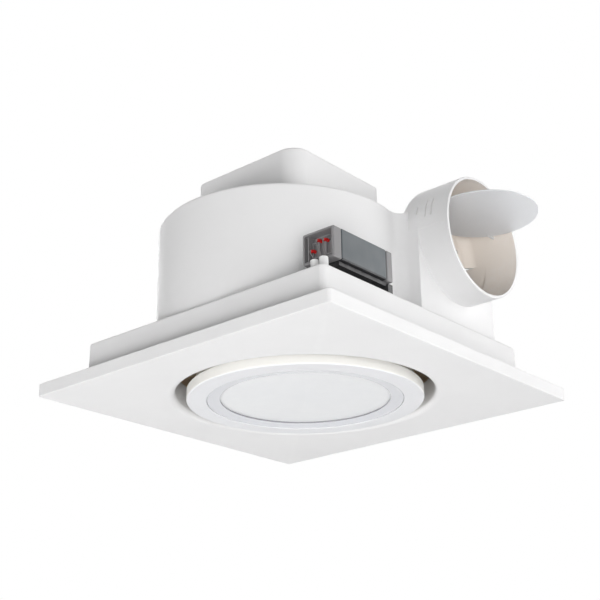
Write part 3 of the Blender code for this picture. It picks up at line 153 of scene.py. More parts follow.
def softened(points: list, steps: int = 6) -> np.ndarray:
    """A polyline whose corners are arcs that touch both sides of the corner.

    The arc's centre lies on the corner's bisector, at radius / sin(half angle) from the corner.

    Args:
        points: Corner points in the plane, each with its arc's radius where it isn't sharp.
        steps: Steps of each arc.

    Returns:
        The points of the softened line.
    """
    places = np.array([row[:2] for row in points], float)
    runs = []
    corners = zip(points, np.roll(places, 1, axis=0), places, np.roll(places, -1, axis=0))
    for row, before, here, after in corners:
        if len(row) == 2:
            runs.append(here[None])
            continue
        back = (before - here) / np.linalg.norm(before - here)
        ahead = (after - here) / np.linalg.norm(after - here)
        half = math.acos(float(np.clip(back @ ahead, -1, 1))) / 2
        centre = here + (back + ahead) / np.linalg.norm(back + ahead) * row[2] / math.sin(half)
        start = here + back * row[2] / math.tan(half) - centre
        end = here + ahead * row[2] / math.tan(half) - centre
        share = np.linspace(0, 1, steps + 1)[:, None]
        turn = math.pi - 2 * half
        arc = np.sin((1 - share) * turn) * start + np.sin(share * turn) * end
        runs.append(centre + arc / math.sin(turn))
    return np.concatenate(runs)


def lathe(profile: np.ndarray, centre: tuple = (0.0, 0.0), steps: int = 192) -> np.ndarray:
    """Rings of a turned surface: each (radius, height) becomes a circle about a vertical axis.

    Args:
        profile: Points of (radius, height).
        centre: Where the axis stands.
        steps: Points round each ring.

    Returns:
        Rings of shape (profile points, steps, 3).
    """
    profile = np.asarray(profile, float)
    return lifted(polar(profile[:, :1], full_circle(steps)[None]) + np.asarray(centre), profile[:, 1])


def rod(spot: tuple, radius: float, low: float, high: float, steps: int = 32) -> np.ndarray:
    """Rings of an upright round bar.

    Args:
        spot: Where its axis stands.
        radius: Its radius.
        low: Its lower end.
        high: Its upper end.
        steps: Points round it.

    Returns:
        Rings of shape (2, steps, 3).
    """
    return lathe([(radius, low), (radius, high)], spot, steps)


def square_rings(
    profile: np.ndarray, half: float, corner: object, count: int, centre: tuple = (0, 0)
) -> np.ndarray:
    """Rings of an upright form with a rounded-square plan, whose corners follow its offset.

    A profile point (reach, height) gives a rounded square of that half width at that height. Its corner
    radius is the named corner radius plus the reach's difference from the named half width.

    Args:
        profile: Points of (reach, height).
        half: The half width at which the corner radius is the named one.
        corner: Corner radius at that half width, or one for each corner.
        count: Points round each ring.
        centre: Middle of the plan.

    Returns:
        Rings of shape (profile points, count, 3).
    """
    profile = np.asarray(profile, float)
    signs, arcs = quarters(count)
    corner = np.repeat(np.broadcast_to(corner, (4,)), count // 4)[None]
    radius = np.maximum(corner + profile[:, :1] - half, corner / 8)[..., None]
    flat = signs * (profile[:, :1, None] - radius) + radius * arcs + np.asarray(centre)
    return lifted(flat, profile[:, 1])


def inset_rings(outline: np.ndarray, profile: np.ndarray) -> np.ndarray:
    """Rings of an upright form with any plan: the outline moved inwards along its own normals.

    Args:
        outline: Plan points, anticlockwise.
        profile: Points of (inset, height).

    Returns:
        Rings of shape (profile points, plan points, 3).
    """
    profile = np.asarray(profile, float)
    ahead = np.roll(outline, -1, axis=0) - np.roll(outline, 1, axis=0)
    normal = np.stack([-ahead[:, 1], ahead[:, 0]], axis=1) / np.linalg.norm(ahead, axis=1)[:, None]
    return lifted(outline + normal * profile[:, :1, None], profile[:, 1])


def block(low: tuple, high: tuple, edge: float, axis: int = 2, count: int = 40, steps: int = 4) -> np.ndarray:
    """Rings of a box with round edges, stacked along one axis.

    Near both ends the edges' radius is edge sin a, while the rings move out by edge cos a.

    Args:
        low: Lowest corner.
        high: Highest corner.
        edge: Radius of the edges.
        axis: The axis that the rings follow.
        count: Points round each ring.
        steps: Steps of each rounded end.

    Returns:
        Rings of shape (2 * (steps + 1), count, 3).
    """
    low, high = np.asarray(low, float), np.asarray(high, float)
    middle, half = (low + high) / 2, (high - low) / 2
    across = [(axis + 1) % 3, (axis + 2) % 3]
    angle = np.linspace(0, math.pi / 2, steps + 1)
    out = half[axis] - edge * (1 - np.cos(angle))
    radius = edge * np.sin(np.concatenate([angle, angle[::-1]]))
    signs, arcs = quarters(count)
    rings = np.empty((len(radius), count, 3))
    rings[..., across] = signs * (half[across] - edge) + arcs * radius[:, None, None] + middle[across]
    rings[..., axis] = (np.concatenate([-out, out[::-1]]) + middle[axis])[:, None]
    return rings


def smooth_route(points: list, per_span: int = 10) -> np.ndarray:
    """A Catmull-Rom line through the points, all spans worked out at once.

    Args:
        points: Points that the line passes.
        per_span: Steps between two of them.

    Returns:
        Points along the line.
    """
    points = np.asarray(points, float)
    ends = np.concatenate([points[:1], points, points[-1:]])
    a, b, c, d = (ends[k : len(ends) - 3 + k][:, None] for k in range(4))
    t = (np.arange(per_span) / per_span)[None, :, None]
    line = 2 * b + (c - a) * t + (2 * a - 5 * b + 4 * c - d) * t**2 + (3 * b - a - 3 * c + d) * t**3
    return np.concatenate([(line / 2).reshape(-1, 3), points[-1:]])


def tube(route: np.ndarray, radius: np.ndarray, side: tuple, steps: int = 24) -> np.ndarray:
    """Rings of a round tube: circles square to the route, turned by a fixed side direction.

    Args:
        route: Points along the middle line.
        radius: One radius, or one for each point.
        side: A direction that the route never follows.
        steps: Points round the tube.

    Returns:
        Rings of shape (route points, steps, 3).
    """
    ahead = np.gradient(route, axis=0)
    ahead /= np.linalg.norm(ahead, axis=1)[:, None]
    across = np.cross(ahead, np.asarray(side, float))
    across /= np.linalg.norm(across, axis=1)[:, None]
    up = np.cross(across, ahead)
    angle = full_circle(steps)[None, :, None]
    radius = np.broadcast_to(radius, (len(route),))[:, None, None]
    return route[:, None] + radius * (np.cos(angle) * across[:, None] + np.sin(angle) * up[:, None])


def skin(rings: np.ndarray, closed: bool = False) -> tuple:
    """Faces between neighbouring rings, and a flat face on each end of an open stack.

    Args:
        rings: Rings of shape (rings, points, 3).
        closed: True where the last ring meets the first.

    Returns:
        The vertices and the list of faces.
    """
    count, points = rings.shape[:2]
    ring = np.arange(count if closed else count - 1)[:, None]
    point = np.arange(points)[None]
    ahead, round_on = (ring + 1) % count, (point + 1) % points
    corners = ((ring, point), (ring, round_on), (ahead, round_on), (ahead, point))
    faces = np.stack([row * points + column for row, column in corners], axis=-1).reshape(-1, 4).tolist()
    if not closed:
        faces.append(list(range(points))[::-1])
        faces.append(list(range((count - 1) * points, count * points)))
    return rings.reshape(-1, 3), faces


def solid(name: str, *forms: object) -> bpy.types.Object:
    """An object of one or more closed forms, with doubles merged and faces outwards.

    Args:
        name: The object's name.
        forms: Rings of open stacks, or pairs of vertices and faces.

    Returns:
        The object, at the origin, with its place in its mesh.
    """
    mesh = bpy.data.meshes.new(name)
    vertices, faces, start = [], [], 0
    for form in forms:
        places, rows = form if isinstance(form, tuple) else skin(form)
        vertices.append(places)
        faces += [[index + start for index in row] for row in rows]
        start += len(places)
    mesh.from_pydata(np.concatenate(vertices).tolist(), [], faces)
    tidy_mesh(mesh)
    obj = bpy.data.objects.new(name, mesh)
    bpy.context.scene.collection.objects.link(obj)
    return obj


def tidy_mesh(mesh: bpy.types.Mesh, outwards: bool = True) -> None:
    """Merges doubles, drops faces without area and turns each closed form outwards.

    Args:
        mesh: The mesh to change.
        outwards: False where the faces already look the right way.
    """
    work = bmesh.new()
    work.from_mesh(mesh)
    bmesh.ops.remove_doubles(work, verts=work.verts, dist=SAME_PLACE)
    bmesh.ops.dissolve_degenerate(work, edges=work.edges, dist=SAME_PLACE)
    if outwards:
        bmesh.ops.recalc_face_normals(work, faces=work.faces)
    work.to_mesh(mesh)
    work.free()


def settle(obj: bpy.types.Object) -> None:
    """Keeps what the object's modifiers make of its mesh, and removes them.

    Args:
        obj: The object to change.
    """
    bpy.context.view_layer.update()
    made = bpy.data.meshes.new_from_object(obj.evaluated_get(bpy.context.evaluated_depsgraph_get()))
    obj.modifiers.clear()
    obj.data = made


def combine(obj: bpy.types.Object, join: Join, *tools: bpy.types.Object) -> bpy.types.Object:
    """Takes the tools away from the object, or adds them, and deletes them.

    Args:
        obj: The object to change.
        join: What becomes of the tools' forms.
        tools: Closed objects.

    Returns:
        The changed object, with no modifier left.
    """
    for tool in tools:
        step = obj.modifiers.new(tool.name, "BOOLEAN")
        step.operation, step.solver, step.object = join.value, "EXACT", tool
    settle(obj)
    tidy_mesh(obj.data, outwards=False)
    for tool in tools:
        bpy.data.objects.remove(tool, do_unlink=True)
    return obj


# Finishes


class Sheet:
    """A small helper that lays nodes in a node tree."""

    def __init__(self, tree: bpy.types.NodeTree) -> None:
        """Keeps the tree."""
        self.tree = tree

    @property
    def where(self) -> bpy.types.NodeSocket:
        """The object's own coordinates."""
        return self.add("ShaderNodeTexCoord").outputs["Object"]

    def fill(self, node: bpy.types.Node, inputs: dict) -> bpy.types.Node:
        """Sets or links inputs of a node.

        Args:
            node: The node.
            inputs: Input name or number to a value or an output socket.

        Returns:
            The node.
        """
        for key, value in inputs.items():
            if isinstance(value, bpy.types.NodeSocket):
                self.tree.links.new(value, node.inputs[key])
            else:
                node.inputs[key].default_value = value
        return node

    def add(self, kind: str, inputs: dict = MappingProxyType({}), **settings: object) -> bpy.types.Node:
        """Adds a node.

        Args:
            kind: The node's type name.
            inputs: Input name or number to a value or an output socket.
            settings: Fields of the node.

        Returns:
            The node.
        """
        node = self.tree.nodes.new(kind)
        for key, value in settings.items():
            setattr(node, key, value)
        return self.fill(node, inputs)

    def group(self, name: str, inputs: dict = MappingProxyType({})) -> object:
        """Adds a node group."""
        return self.add("ShaderNodeGroup", inputs, node_tree=bpy.data.node_groups[name]).outputs

    def parts(self, vector: bpy.types.NodeSocket) -> object:
        """Splits a vector."""
        return self.add("ShaderNodeSeparateXYZ", {0: vector}).outputs

    def noise(self, coordinate: bpy.types.NodeSocket, scale: object, detail: float) -> bpy.types.NodeSocket:
        """A noise pattern."""
        rows = {"Vector": coordinate, "Scale": scale, "Detail": detail}
        return self.add("ShaderNodeTexNoise", rows).outputs[0]

    def math(self, operation: str, a: object, b: object = 0.0) -> bpy.types.NodeSocket:
        """One sum of two values."""
        return self.add("ShaderNodeMath", {0: a, 1: b}, operation=operation).outputs[0]

    def times(self, *values: object) -> bpy.types.NodeSocket:
        """The product of values."""
        return reduce(lambda a, b: self.math("MULTIPLY", a, b), values)

    def reach(self, a: object, b: object) -> bpy.types.NodeSocket:
        """The distance that two square distances make, as the root of a * a + b * b."""
        return self.math("SQRT", self.math("ADD", self.times(a, a), self.times(b, b)))

    def between(self, value: object, low: object, high: object) -> bpy.types.NodeSocket:
        """A mask of the values between two limits."""
        return self.times(self.math("GREATER_THAN", value, low), self.math("LESS_THAN", value, high))

    def spread(
        self, value: object, low: float, high: float, to_low: float = 0.0, to_high: float = 1.0
    ) -> bpy.types.NodeSocket:
        """Maps a value from one range to another, clamped."""
        rows = {"Value": value, "From Min": low, "From Max": high, "To Min": to_low, "To Max": to_high}
        return self.add("ShaderNodeMapRange", rows).outputs[0]

    def blend(self, share: object, first: object, second: object) -> bpy.types.NodeSocket:
        """Mixes two colours.

        Args:
            share: How much of the second.
            first: A colour or an output socket.
            second: A colour or an output socket.

        Returns:
            The mixed colour.
        """
        rows = {
            number: value if isinstance(value, bpy.types.NodeSocket) else (*value, 1.0)
            for number, value in ((6, first), (7, second))
        }
        node = self.add("ShaderNodeMix", {"Factor": share}, data_type="RGBA")
        return self.fill(node, rows).outputs[2]

    def bump(self, height: object, strength: float, distance: float) -> bpy.types.NodeSocket:
        """Turns a height into a normal."""
        rows = {"Strength": strength, "Distance": distance, "Height": height}
        return self.add("ShaderNodeBump", rows).outputs[0]


def moulded_skin(sheet: Sheet, source: object) -> dict:
    """The skin of a moulding: fine pebbling, slow flow marks and a mask of dulled patches.

    Height is fine noise plus a slow wave; Tone is slow noise about 0.5; Dull is a middle noise from 0 to 1.

    Args:
        sheet: The group's sheet.
        source: Its inputs Pebble, Flow and Flow Depth.

    Returns:
        Its outputs.
    """
    where = sheet.where
    slow = sheet.noise(where, source["Flow"], 2.0)
    wave = sheet.times(slow, source["Flow Depth"])
    height = sheet.math("ADD", sheet.noise(where, source["Pebble"], 3.0), wave)
    patch = sheet.noise(where, sheet.times(source["Flow"], 6.0), 4.0)
    return {"Height": height, "Tone": slow, "Dull": sheet.spread(patch, 0.35, 0.7)}


def handling(sheet: Sheet, source: object) -> dict:
    """Rubbed high spots and settled dust.

    Rub is where the surface bulges, broken up by noise; Dust is where it faces up, broken up the same way.

    Args:
        sheet: The group's sheet.
        source: Its input Grain.

    Returns:
        Its outputs.
    """
    shape = sheet.add("ShaderNodeNewGeometry").outputs
    grain = sheet.noise(sheet.where, source["Grain"], 5.0)
    bulge = sheet.spread(shape["Pointiness"], 0.52, 0.60)
    upward = sheet.spread(sheet.parts(shape["Normal"])[2], 0.6, 1.0)
    rub = sheet.times(bulge, sheet.spread(grain, 0.35, 0.65, 0.2, 1.0))
    return {"Rub": rub, "Dust": sheet.times(upward, sheet.spread(grain, 0.3, 0.7, 0.1, 1.0))}


def drawn_metal(sheet: Sheet, source: object) -> dict:
    """Fine lines of rolled or turned metal with a cloudy plating.

    Height is noise stretched along one axis; Cloud is a middle noise from 0 to 1.

    Args:
        sheet: The group's sheet.
        source: Its inputs Lines and Cloud.

    Returns:
        Its outputs.
    """
    where = sheet.where
    stretched = sheet.add("ShaderNodeMapping", {"Vector": where, "Scale": (1.0, 0.04, 1.0)}).outputs[0]
    cloud = sheet.spread(sheet.noise(where, source["Cloud"], 4.0), 0.3, 0.7)
    return {"Height": sheet.noise(stretched, source["Lines"], 3.0), "Cloud": cloud}


def bore_inside(sheet: Sheet, source: object) -> dict:
    """A mask of what lies inside a round bore along Y and the square room below its axis.

    In the bore the distance from the axis is less than the radius between mouth and back, where its end is
    rounded. In the room the distance across is less than the radius, below the axis and between front and
    far end.

    Args:
        sheet: The group's sheet.
        source: Its inputs, the sizes.

    Returns:
        Its output Inside.
    """
    x, y, z = sheet.parts(sheet.where)
    across = sheet.math("SUBTRACT", x, source["Across"])
    up = sheet.math("SUBTRACT", z, source["Up"])
    excess = [
        sheet.math("MAXIMUM", sheet.math("ADD", sheet.math("SUBTRACT", place, source[end]), source["Round"]))
        for place, end in ((sheet.reach(across, up), "Radius"), (y, "Back"))
    ]
    near = sheet.math("LESS_THAN", sheet.reach(*excess), source["Round"])
    bore = sheet.times(near, sheet.math("GREATER_THAN", y, source["Mouth"]))
    within = sheet.math("LESS_THAN", sheet.math("ABSOLUTE", across), source["Radius"])
    room = sheet.times(within, sheet.math("LESS_THAN", up), sheet.between(y, source["Front"], source["Far"]))
    return {"Inside": sheet.math("MAXIMUM", bore, room)}


def well_inside(sheet: Sheet, source: object) -> dict:
    """A mask of what lies inside an upright square well: both flat distances and the height are small.

    Args:
        sheet: The group's sheet.
        source: Its inputs Half and Top.

    Returns:
        Its output Inside.
    """
    x, y, z = sheet.parts(sheet.where)
    wider = sheet.math("MAXIMUM", sheet.math("ABSOLUTE", x), sheet.math("ABSOLUTE", y))
    within = sheet.math("LESS_THAN", wider, source["Half"])
    return {"Inside": sheet.times(within, sheet.math("LESS_THAN", z, source["Top"]))}


def ring_inside(sheet: Sheet, source: object) -> dict:
    """A mask of what lies between two radii about the upright axis and between two heights.

    Args:
        sheet: The group's sheet.
        source: Its inputs Inner, Outer, Base and Top.

    Returns:
        Its output Inside.
    """
    x, y, z = sheet.parts(sheet.where)
    ring = sheet.between(sheet.reach(x, y), source["Inner"], source["Outer"])
    return {"Inside": sheet.times(ring, sheet.between(z, source["Base"], source["Top"]))}


SHARED_GROUPS = (
    (moulded_skin, {"Pebble": 2600.0, "Flow": 14.0, "Flow Depth": 0.5}),
    (handling, {"Grain": 180.0}),
    (drawn_metal, {"Lines": 900.0, "Cloud": 60.0}),
    (
        bore_inside,
        {
            "Across": 0.0, "Up": 0.0, "Radius": 0.05, "Round": 0.0,
            "Mouth": 0.0, "Back": 0.0, "Front": 0.0, "Far": 1.0,
        },
    ),
    (well_inside, {"Half": 0.1, "Top": 0.03}),
    (ring_inside, {"Inner": 0.0, "Outer": 1.0, "Base": -1.0, "Top": 1.0}),
)


def new_group(lay: Callable, inputs: dict) -> None:
    """Makes a shader node group, named after the function that lays it.

    Args:
        lay: Takes the group's Sheet and its input sockets, and returns its outputs by name.
        inputs: Input name to its plain value.
    """
    group = bpy.data.node_groups.new(lay.__name__, "ShaderNodeTree")
    for label, value in inputs.items():
        group.interface.new_socket(label, in_out="INPUT", socket_type="NodeSocketFloat").default_value = value
    sheet = Sheet(group)
    made = lay(sheet, sheet.add("NodeGroupInput").outputs)
    for label in made:
        group.interface.new_socket(label, in_out="OUTPUT", socket_type="NodeSocketFloat")
    sheet.add("NodeGroupOutput", made)


def new_material(name: str, surface: Callable) -> bpy.types.Material:
    """Makes a material.

    Args:
        name: Its name.
        surface: Takes its Sheet and returns shader input to a value or an output socket.

    Returns:
        The material.
    """
    material = bpy.data.materials.new(name)
    material.use_nodes = True
    sheet = Sheet(material.node_tree)
    sheet.fill(material.node_tree.nodes["Principled BSDF"], surface(sheet))
    return material


@dataclass(frozen=True)
class InnerTint:
    """Another colour for the faces that a mask group finds inside the piece, mostly painted shade or painted
    light.
    """

    group: str
    sizes: dict
    colour: tuple

    def lay(self, sheet: Sheet, colour: bpy.types.NodeSocket) -> bpy.types.NodeSocket:
        """Mixes the inner colour in by the mask."""
        return sheet.blend(sheet.group(self.group, self.sizes)["Inside"], colour, self.colour)


@dataclass(frozen=True)
class Moulding:
    """A moulded plastic: colour with slow tone changes, pebbled skin, rubbed edges and a little dust."""

    colour: tuple
    shade: tuple
    roughness: float = 0.38
    dulled: float = 0.5
    pebble: float = 2600.0
    depth: float = 0.06
    rubbed: tuple = (0.9, 0.9, 0.9)
    dusty: tuple = (0.62, 0.60, 0.56)
    rub: float = 0.25
    dust: float = 0.12
    specular: float = 0.5
    inner: InnerTint = None

    def surface(self, sheet: Sheet) -> dict:
        """Lays the surface.

        Args:
            sheet: The material's sheet.

        Returns:
            The shader's inputs.
        """
        skin_marks = sheet.group("moulded_skin", {"Pebble": self.pebble})
        worn = sheet.group("handling")
        colour = sheet.blend(sheet.spread(skin_marks["Tone"], 0.3, 0.7), self.colour, self.shade)
        if self.inner:
            colour = self.inner.lay(sheet, colour)
        colour = sheet.blend(sheet.times(worn["Rub"], self.rub), colour, self.rubbed)
        dull = sheet.math("MAXIMUM", skin_marks["Dull"], worn["Dust"])
        return {
            "Base Color": sheet.blend(sheet.times(worn["Dust"], self.dust), colour, self.dusty),
            "Roughness": sheet.spread(dull, 0.0, 1.0, self.roughness, self.dulled),
            "Normal": sheet.bump(skin_marks["Height"], self.depth, 0.0004),
            "Specular IOR Level": self.specular,
        }


@dataclass(frozen=True)
class ClearMoulding:
    """A clear or milky plastic that lets some light through."""

    colour: tuple
    shade: tuple
    roughness: float
    transmission: float
    ior: float = 1.49
    thin: float = 0.0
    inner: InnerTint = None

    def surface(self, sheet: Sheet) -> dict:
        """Lays the surface.

        Args:
            sheet: The material's sheet.

        Returns:
            The shader's inputs.
        """
        skin_marks = sheet.group("moulded_skin", {"Pebble": 1500.0, "Flow": 22.0, "Flow Depth": 1.5})
        tone = sheet.spread(skin_marks["Tone"], 0.3, 0.7)
        colour = sheet.blend(tone, self.colour, self.shade)
        rows = {"Transmission Weight": self.transmission, "IOR": self.ior, "Roughness": self.roughness}
        rows["Base Color"] = self.inner.lay(sheet, colour) if self.inner else colour
        rows["Normal"] = sheet.bump(skin_marks["Height"], 0.03, 0.0004)
        if self.thin:
            rows["Alpha"] = sheet.spread(tone, 0.0, 1.0, self.thin, self.thin + 0.04)
        return rows


@dataclass(frozen=True)
class Metal:
    """A plated, turned or rolled metal with fine lines and a cloudy gloss."""

    colour: tuple
    cloud: tuple
    roughness: float = 0.32
    dulled: float = 0.5
    lines: float = 900.0
    depth: float = 0.15
    rubbed: tuple = (0.8, 0.8, 0.82)
    rub: float = 0.3

    def surface(self, sheet: Sheet) -> dict:
        """Lays the surface.

        Args:
            sheet: The material's sheet.

        Returns:
            The shader's inputs.
        """
        drawn = sheet.group("drawn_metal", {"Lines": self.lines})
        rub = sheet.times(sheet.group("handling")["Rub"], self.rub)
        return {
            "Metallic": 1.0,
            "Base Color": sheet.blend(rub, sheet.blend(drawn["Cloud"], self.colour, self.cloud), self.rubbed),
            "Roughness": sheet.spread(drawn["Cloud"], 0.0, 1.0, self.roughness, self.dulled),
            "Normal": sheet.bump(drawn["Height"], self.depth, 0.0002),
        }


@dataclass(frozen=True)
class Winding:
    """Enamelled wire wound round a ring: strands that follow the turn about the motor's axis."""

    centre: tuple
    colour: tuple = (0.52, 0.20, 0.09)
    dark: tuple = (0.16, 0.05, 0.02)
    strands: float = 1400.0
    wobble: float = 0.0016

    def surface(self, sheet: Sheet) -> dict:
        """Lays the surface.

        Args:
            sheet: The material's sheet.

        Returns:
            The shader's inputs.
        """
        where = sheet.where
        shift = (-self.centre[0], -self.centre[1], 0)
        x, y, z = sheet.parts(sheet.add("ShaderNodeMapping", {"Vector": where, "Location": shift}).outputs[0])
        run = sheet.math("ADD", sheet.reach(x, y), z)
        run = sheet.math("ADD", run, sheet.times(sheet.noise(where, 260.0, 2.0), self.wobble))
        strand = sheet.math("ABSOLUTE", sheet.math("SINE", sheet.times(run, self.strands * math.pi)))
        return {
            "Metallic": 0.6,
            "Coat Weight": 0.4,
            "Base Color": sheet.blend(strand, self.dark, self.colour),
            "Roughness": sheet.spread(strand, 0.0, 1.0, 0.55, 0.3),
            "Normal": sheet.bump(strand, 0.7, 0.0003),
        }


@dataclass(frozen=True)
class Laminations:
    """A stack of thin steel sheets, seen as fine level lines."""

    colour: tuple = (0.42, 0.41, 0.40)
    line: tuple = (0.16, 0.15, 0.14)
    sheets: float = 2000.0

    def surface(self, sheet: Sheet) -> dict:
        """Lays the surface.

        Args:
            sheet: The material's sheet.

        Returns:
            The shader's inputs.
        """
        where = sheet.where
        saw = sheet.math("SINE", sheet.times(sheet.parts(where)[2], self.sheets * math.pi))
        edge = sheet.spread(sheet.math("ABSOLUTE", saw), 0.0, 0.35)
        return {
            "Metallic": 1.0,
            "Base Color": sheet.blend(edge, self.line, self.colour),
            "Roughness": sheet.spread(sheet.noise(where, 90.0, 4.0), 0.3, 0.7, 0.38, 0.6),
            "Normal": sheet.bump(edge, 0.4, 0.0002),
        }


@dataclass(frozen=True)
class BoardMask:
    """A circuit board: white solder mask with raised tracks and small emitter squares."""

    pitch: float = 0.012
    mask: tuple = (0.82, 0.84, 0.82)
    track: tuple = (0.55, 0.62, 0.55)
    emitter: tuple = (0.86, 0.66, 0.16)

    def surface(self, sheet: Sheet) -> dict:
        """Lays the surface.

        Args:
            sheet: The material's sheet.

        Returns:
            The shader's inputs.
        """
        low, high = self.pitch * 0.10, self.pitch * 0.12
        near = [
            sheet.spread(sheet.math("PINGPONG", part, self.pitch / 2), low, high, 1.0, 0.0)
            for part in sheet.parts(sheet.where)[:2]
        ]
        track = sheet.math("MAXIMUM", *near)
        colour = sheet.blend(sheet.times(track, 0.12), self.mask, self.track)
        return {
            "Roughness": 0.45,
            "Base Color": sheet.blend(sheet.times(*near), colour, self.emitter),
            "Normal": sheet.bump(track, 0.3, 0.0002),
        }


class Finish(Enum):
    """Every finish of the fan: the record's slot that it belongs to, and its material's name."""

    WHITE = ("white_plastic", "white_moulding")
    HOUSING = ("white_plastic", "housing_moulding")
    SKIRT = ("white_plastic", "skirt_moulding")
    TRIM = ("white_plastic", "trim_moulding")
    IVORY = ("ivory_plastic", "ivory_moulding")
    CREAM = ("cream_paint", "cream_coat")
    MILKY = ("milky_plastic", "milky_sheet")
    CLEAR = ("clear_plastic", "clear_lens")
    OPAL = ("opal_plastic", "opal_sheet")
    GREY = ("grey_plastic", "grey_moulding")
    SLATE = ("slate_plastic", "slate_moulding")
    BLACK = ("black_plastic", "black_moulding")
    RED = ("red_insulation", "red_sleeve")
    LEAD = ("white_lead", "white_sheath")
    BOARD = ("circuit_board", "solder_mask")
    STEEL = ("steel", "plain_steel")
    STACK = ("steel", "steel_stack")
    ZINC = ("zinc_plate", "zinc_coat")
    COPPER = ("enamelled_copper", "wound_wire")


# Painted shade: a warm darker colour inside the spigot's bore and the outlet box, standing in for the shade
# and warm bounced light in there.
SPIGOT_BORE_PAINTED_SHADE = InnerTint(
    "bore_inside",
    {
        "Across": 0.0705, "Up": 0.1142, "Radius": 0.0500, "Round": 0.0105,
        "Mouth": -0.1331, "Back": -0.0835, "Front": -0.1028, "Far": -0.0602,
    },
    (0.85, 0.785, 0.72),
)
# Painted shade: a warm brown on the frame's inner faces below its plate, standing in for the deep shade seen
# through the gap.
SKIRT_WELL_PAINTED_SHADE = InnerTint("well_inside", {"Half": 0.1212, "Top": 0.0322}, (0.92, 0.76, 0.56))
# Painted light: the trim ring's outer wall is painted a lighter cream, standing in for the light that
# brightens that band.
TRIM_WALL_PAINTED_LIGHT = InnerTint("ring_inside", {"Inner": 0.0943, "Base": -0.0124}, (0.88, 0.87, 0.835))
# Painted shade: the clear ring's inner lip is painted dark grey, standing in for the shadow at the diffuser's
# edge.
LENS_RIM_PAINTED_SHADE = InnerTint("ring_inside", {"Outer": 0.0684}, (0.36, 0.36, 0.39))
# Painted shade: the lowest millimetres of the driver case are painted near black, standing in for the shade
# under the case.
CASE_FOOT_PAINTED_SHADE = InnerTint("ring_inside", {"Top": 0.0461}, (0.016, 0.017, 0.02))
BARE_WIRE = InnerTint(
    "bore_inside", {"Across": -0.1102, "Up": 0.2, "Radius": 0.0013, "Front": -0.2}, (0.16, 0.15, 0.15)
)
WHITE_MOULDING = Moulding((0.858, 0.856, 0.858), (0.834, 0.831, 0.834), 0.48, 0.6, specular=0.35)
RECIPES = {
    Finish.WHITE: WHITE_MOULDING,
    Finish.HOUSING: replace(WHITE_MOULDING, inner=SPIGOT_BORE_PAINTED_SHADE),
    Finish.SKIRT: replace(WHITE_MOULDING, inner=SKIRT_WELL_PAINTED_SHADE),
    Finish.TRIM: replace(
        WHITE_MOULDING, colour=(0.835, 0.84, 0.86), shade=(0.815, 0.82, 0.84), inner=TRIM_WALL_PAINTED_LIGHT
    ),
    Finish.IVORY: Moulding((0.80, 0.77, 0.70), (0.76, 0.73, 0.66), 0.45),
    Finish.CREAM: Moulding((0.86, 0.84, 0.77), (0.84, 0.81, 0.74), pebble=1400.0, depth=0.12),
    Finish.MILKY: ClearMoulding((0.92, 0.93, 0.95), (0.90, 0.91, 0.93), 0.42, 0.45, thin=0.92),
    Finish.CLEAR: ClearMoulding((0.80, 0.81, 0.85), (0.78, 0.79, 0.835), 0.10, 0.12, inner=LENS_RIM_PAINTED_SHADE),
    Finish.OPAL: Moulding((0.84, 0.85, 0.86), (0.82, 0.83, 0.845), 0.3, pebble=3600.0, dust=0.0),
    Finish.GREY: Moulding((0.24, 0.235, 0.24), (0.20, 0.195, 0.20), 0.42, rub=0.12, dust=0.05),
    Finish.SLATE: Moulding(
        (0.085, 0.10, 0.11), (0.07, 0.082, 0.09), 0.38, rub=0.08, dust=0.05, inner=CASE_FOOT_PAINTED_SHADE
    ),
    Finish.BLACK: Moulding((0.018, 0.018, 0.02), (0.012, 0.012, 0.013), 0.45, rub=0.06, dust=0.05),
    Finish.RED: Moulding((0.72, 0.012, 0.012), (0.55, 0.01, 0.01), 0.30, rub=0.0, dust=0.0, inner=BARE_WIRE),
    Finish.LEAD: Moulding((0.85, 0.85, 0.85), (0.81, 0.81, 0.81), 0.45, pebble=1800.0),
    Finish.BOARD: BoardMask(),
    Finish.STEEL: Metal((0.55, 0.55, 0.56), (0.42, 0.42, 0.43)),
    Finish.STACK: Laminations(),
    Finish.ZINC: Metal((0.64, 0.65, 0.67), (0.52, 0.53, 0.56), roughness=0.35, lines=500.0),
    Finish.COPPER: Winding(MOTOR_AXIS),
}


class Palette:
    """Makes each finish once, and dresses pieces and solids with them."""

    def __init__(self) -> None:
        """Builds the shared groups and every material."""
        for lay, inputs in SHARED_GROUPS:
            new_group(lay, inputs)
        self.materials = {
            finish: new_material(finish.value[1], recipe.surface) for finish, recipe in RECIPES.items()
        }

    def place(
        self, obj: bpy.types.Object, finish: Finish, node: str, smooth: float = 32, body: Body = Body.CASING
    ) -> None:
        """Gives a finished piece its shading, material and body, and hides the node it stands for.

        Args:
            obj: The piece.
            finish: Its finish.
            node: The solid that it replaces.
            smooth: Edges sharper than this angle in degrees stay sharp.
            body: The body that it rides on.
        """
        obj.data.materials.clear()
        obj.data.materials.append(self.materials[finish])
        obj.data.shade_smooth()
        obj.data.set_sharp_from_angle(angle=math.radians(smooth))
        obj.modifiers.new("even_shading", "WEIGHTED_NORMAL").keep_sharp = True
        settle(obj)
        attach(obj, body.value)
        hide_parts(node)
        log.info("%s: %d faces on %s, stands for %s", obj.name, len(obj.data.polygons), body.value, node)

    def paint(self, name: str, finish: Finish) -> None:
        """Puts a finish in every slot of a solid that keeps its shape.

        Args:
            name: The node.
            finish: Its finish.
        """
        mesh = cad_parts[name].data
        if not mesh.materials:
            mesh.materials.append(self.materials[finish])
        for index in range(len(mesh.materials)):
            mesh.materials[index] = self.materials[finish]
        log.info("%s keeps its shape and gets %s", name, finish.value[1])


# Sub-assemblies


@dataclass
class Assembly:
    """Pieces that are built and dressed together."""

    palette: Palette


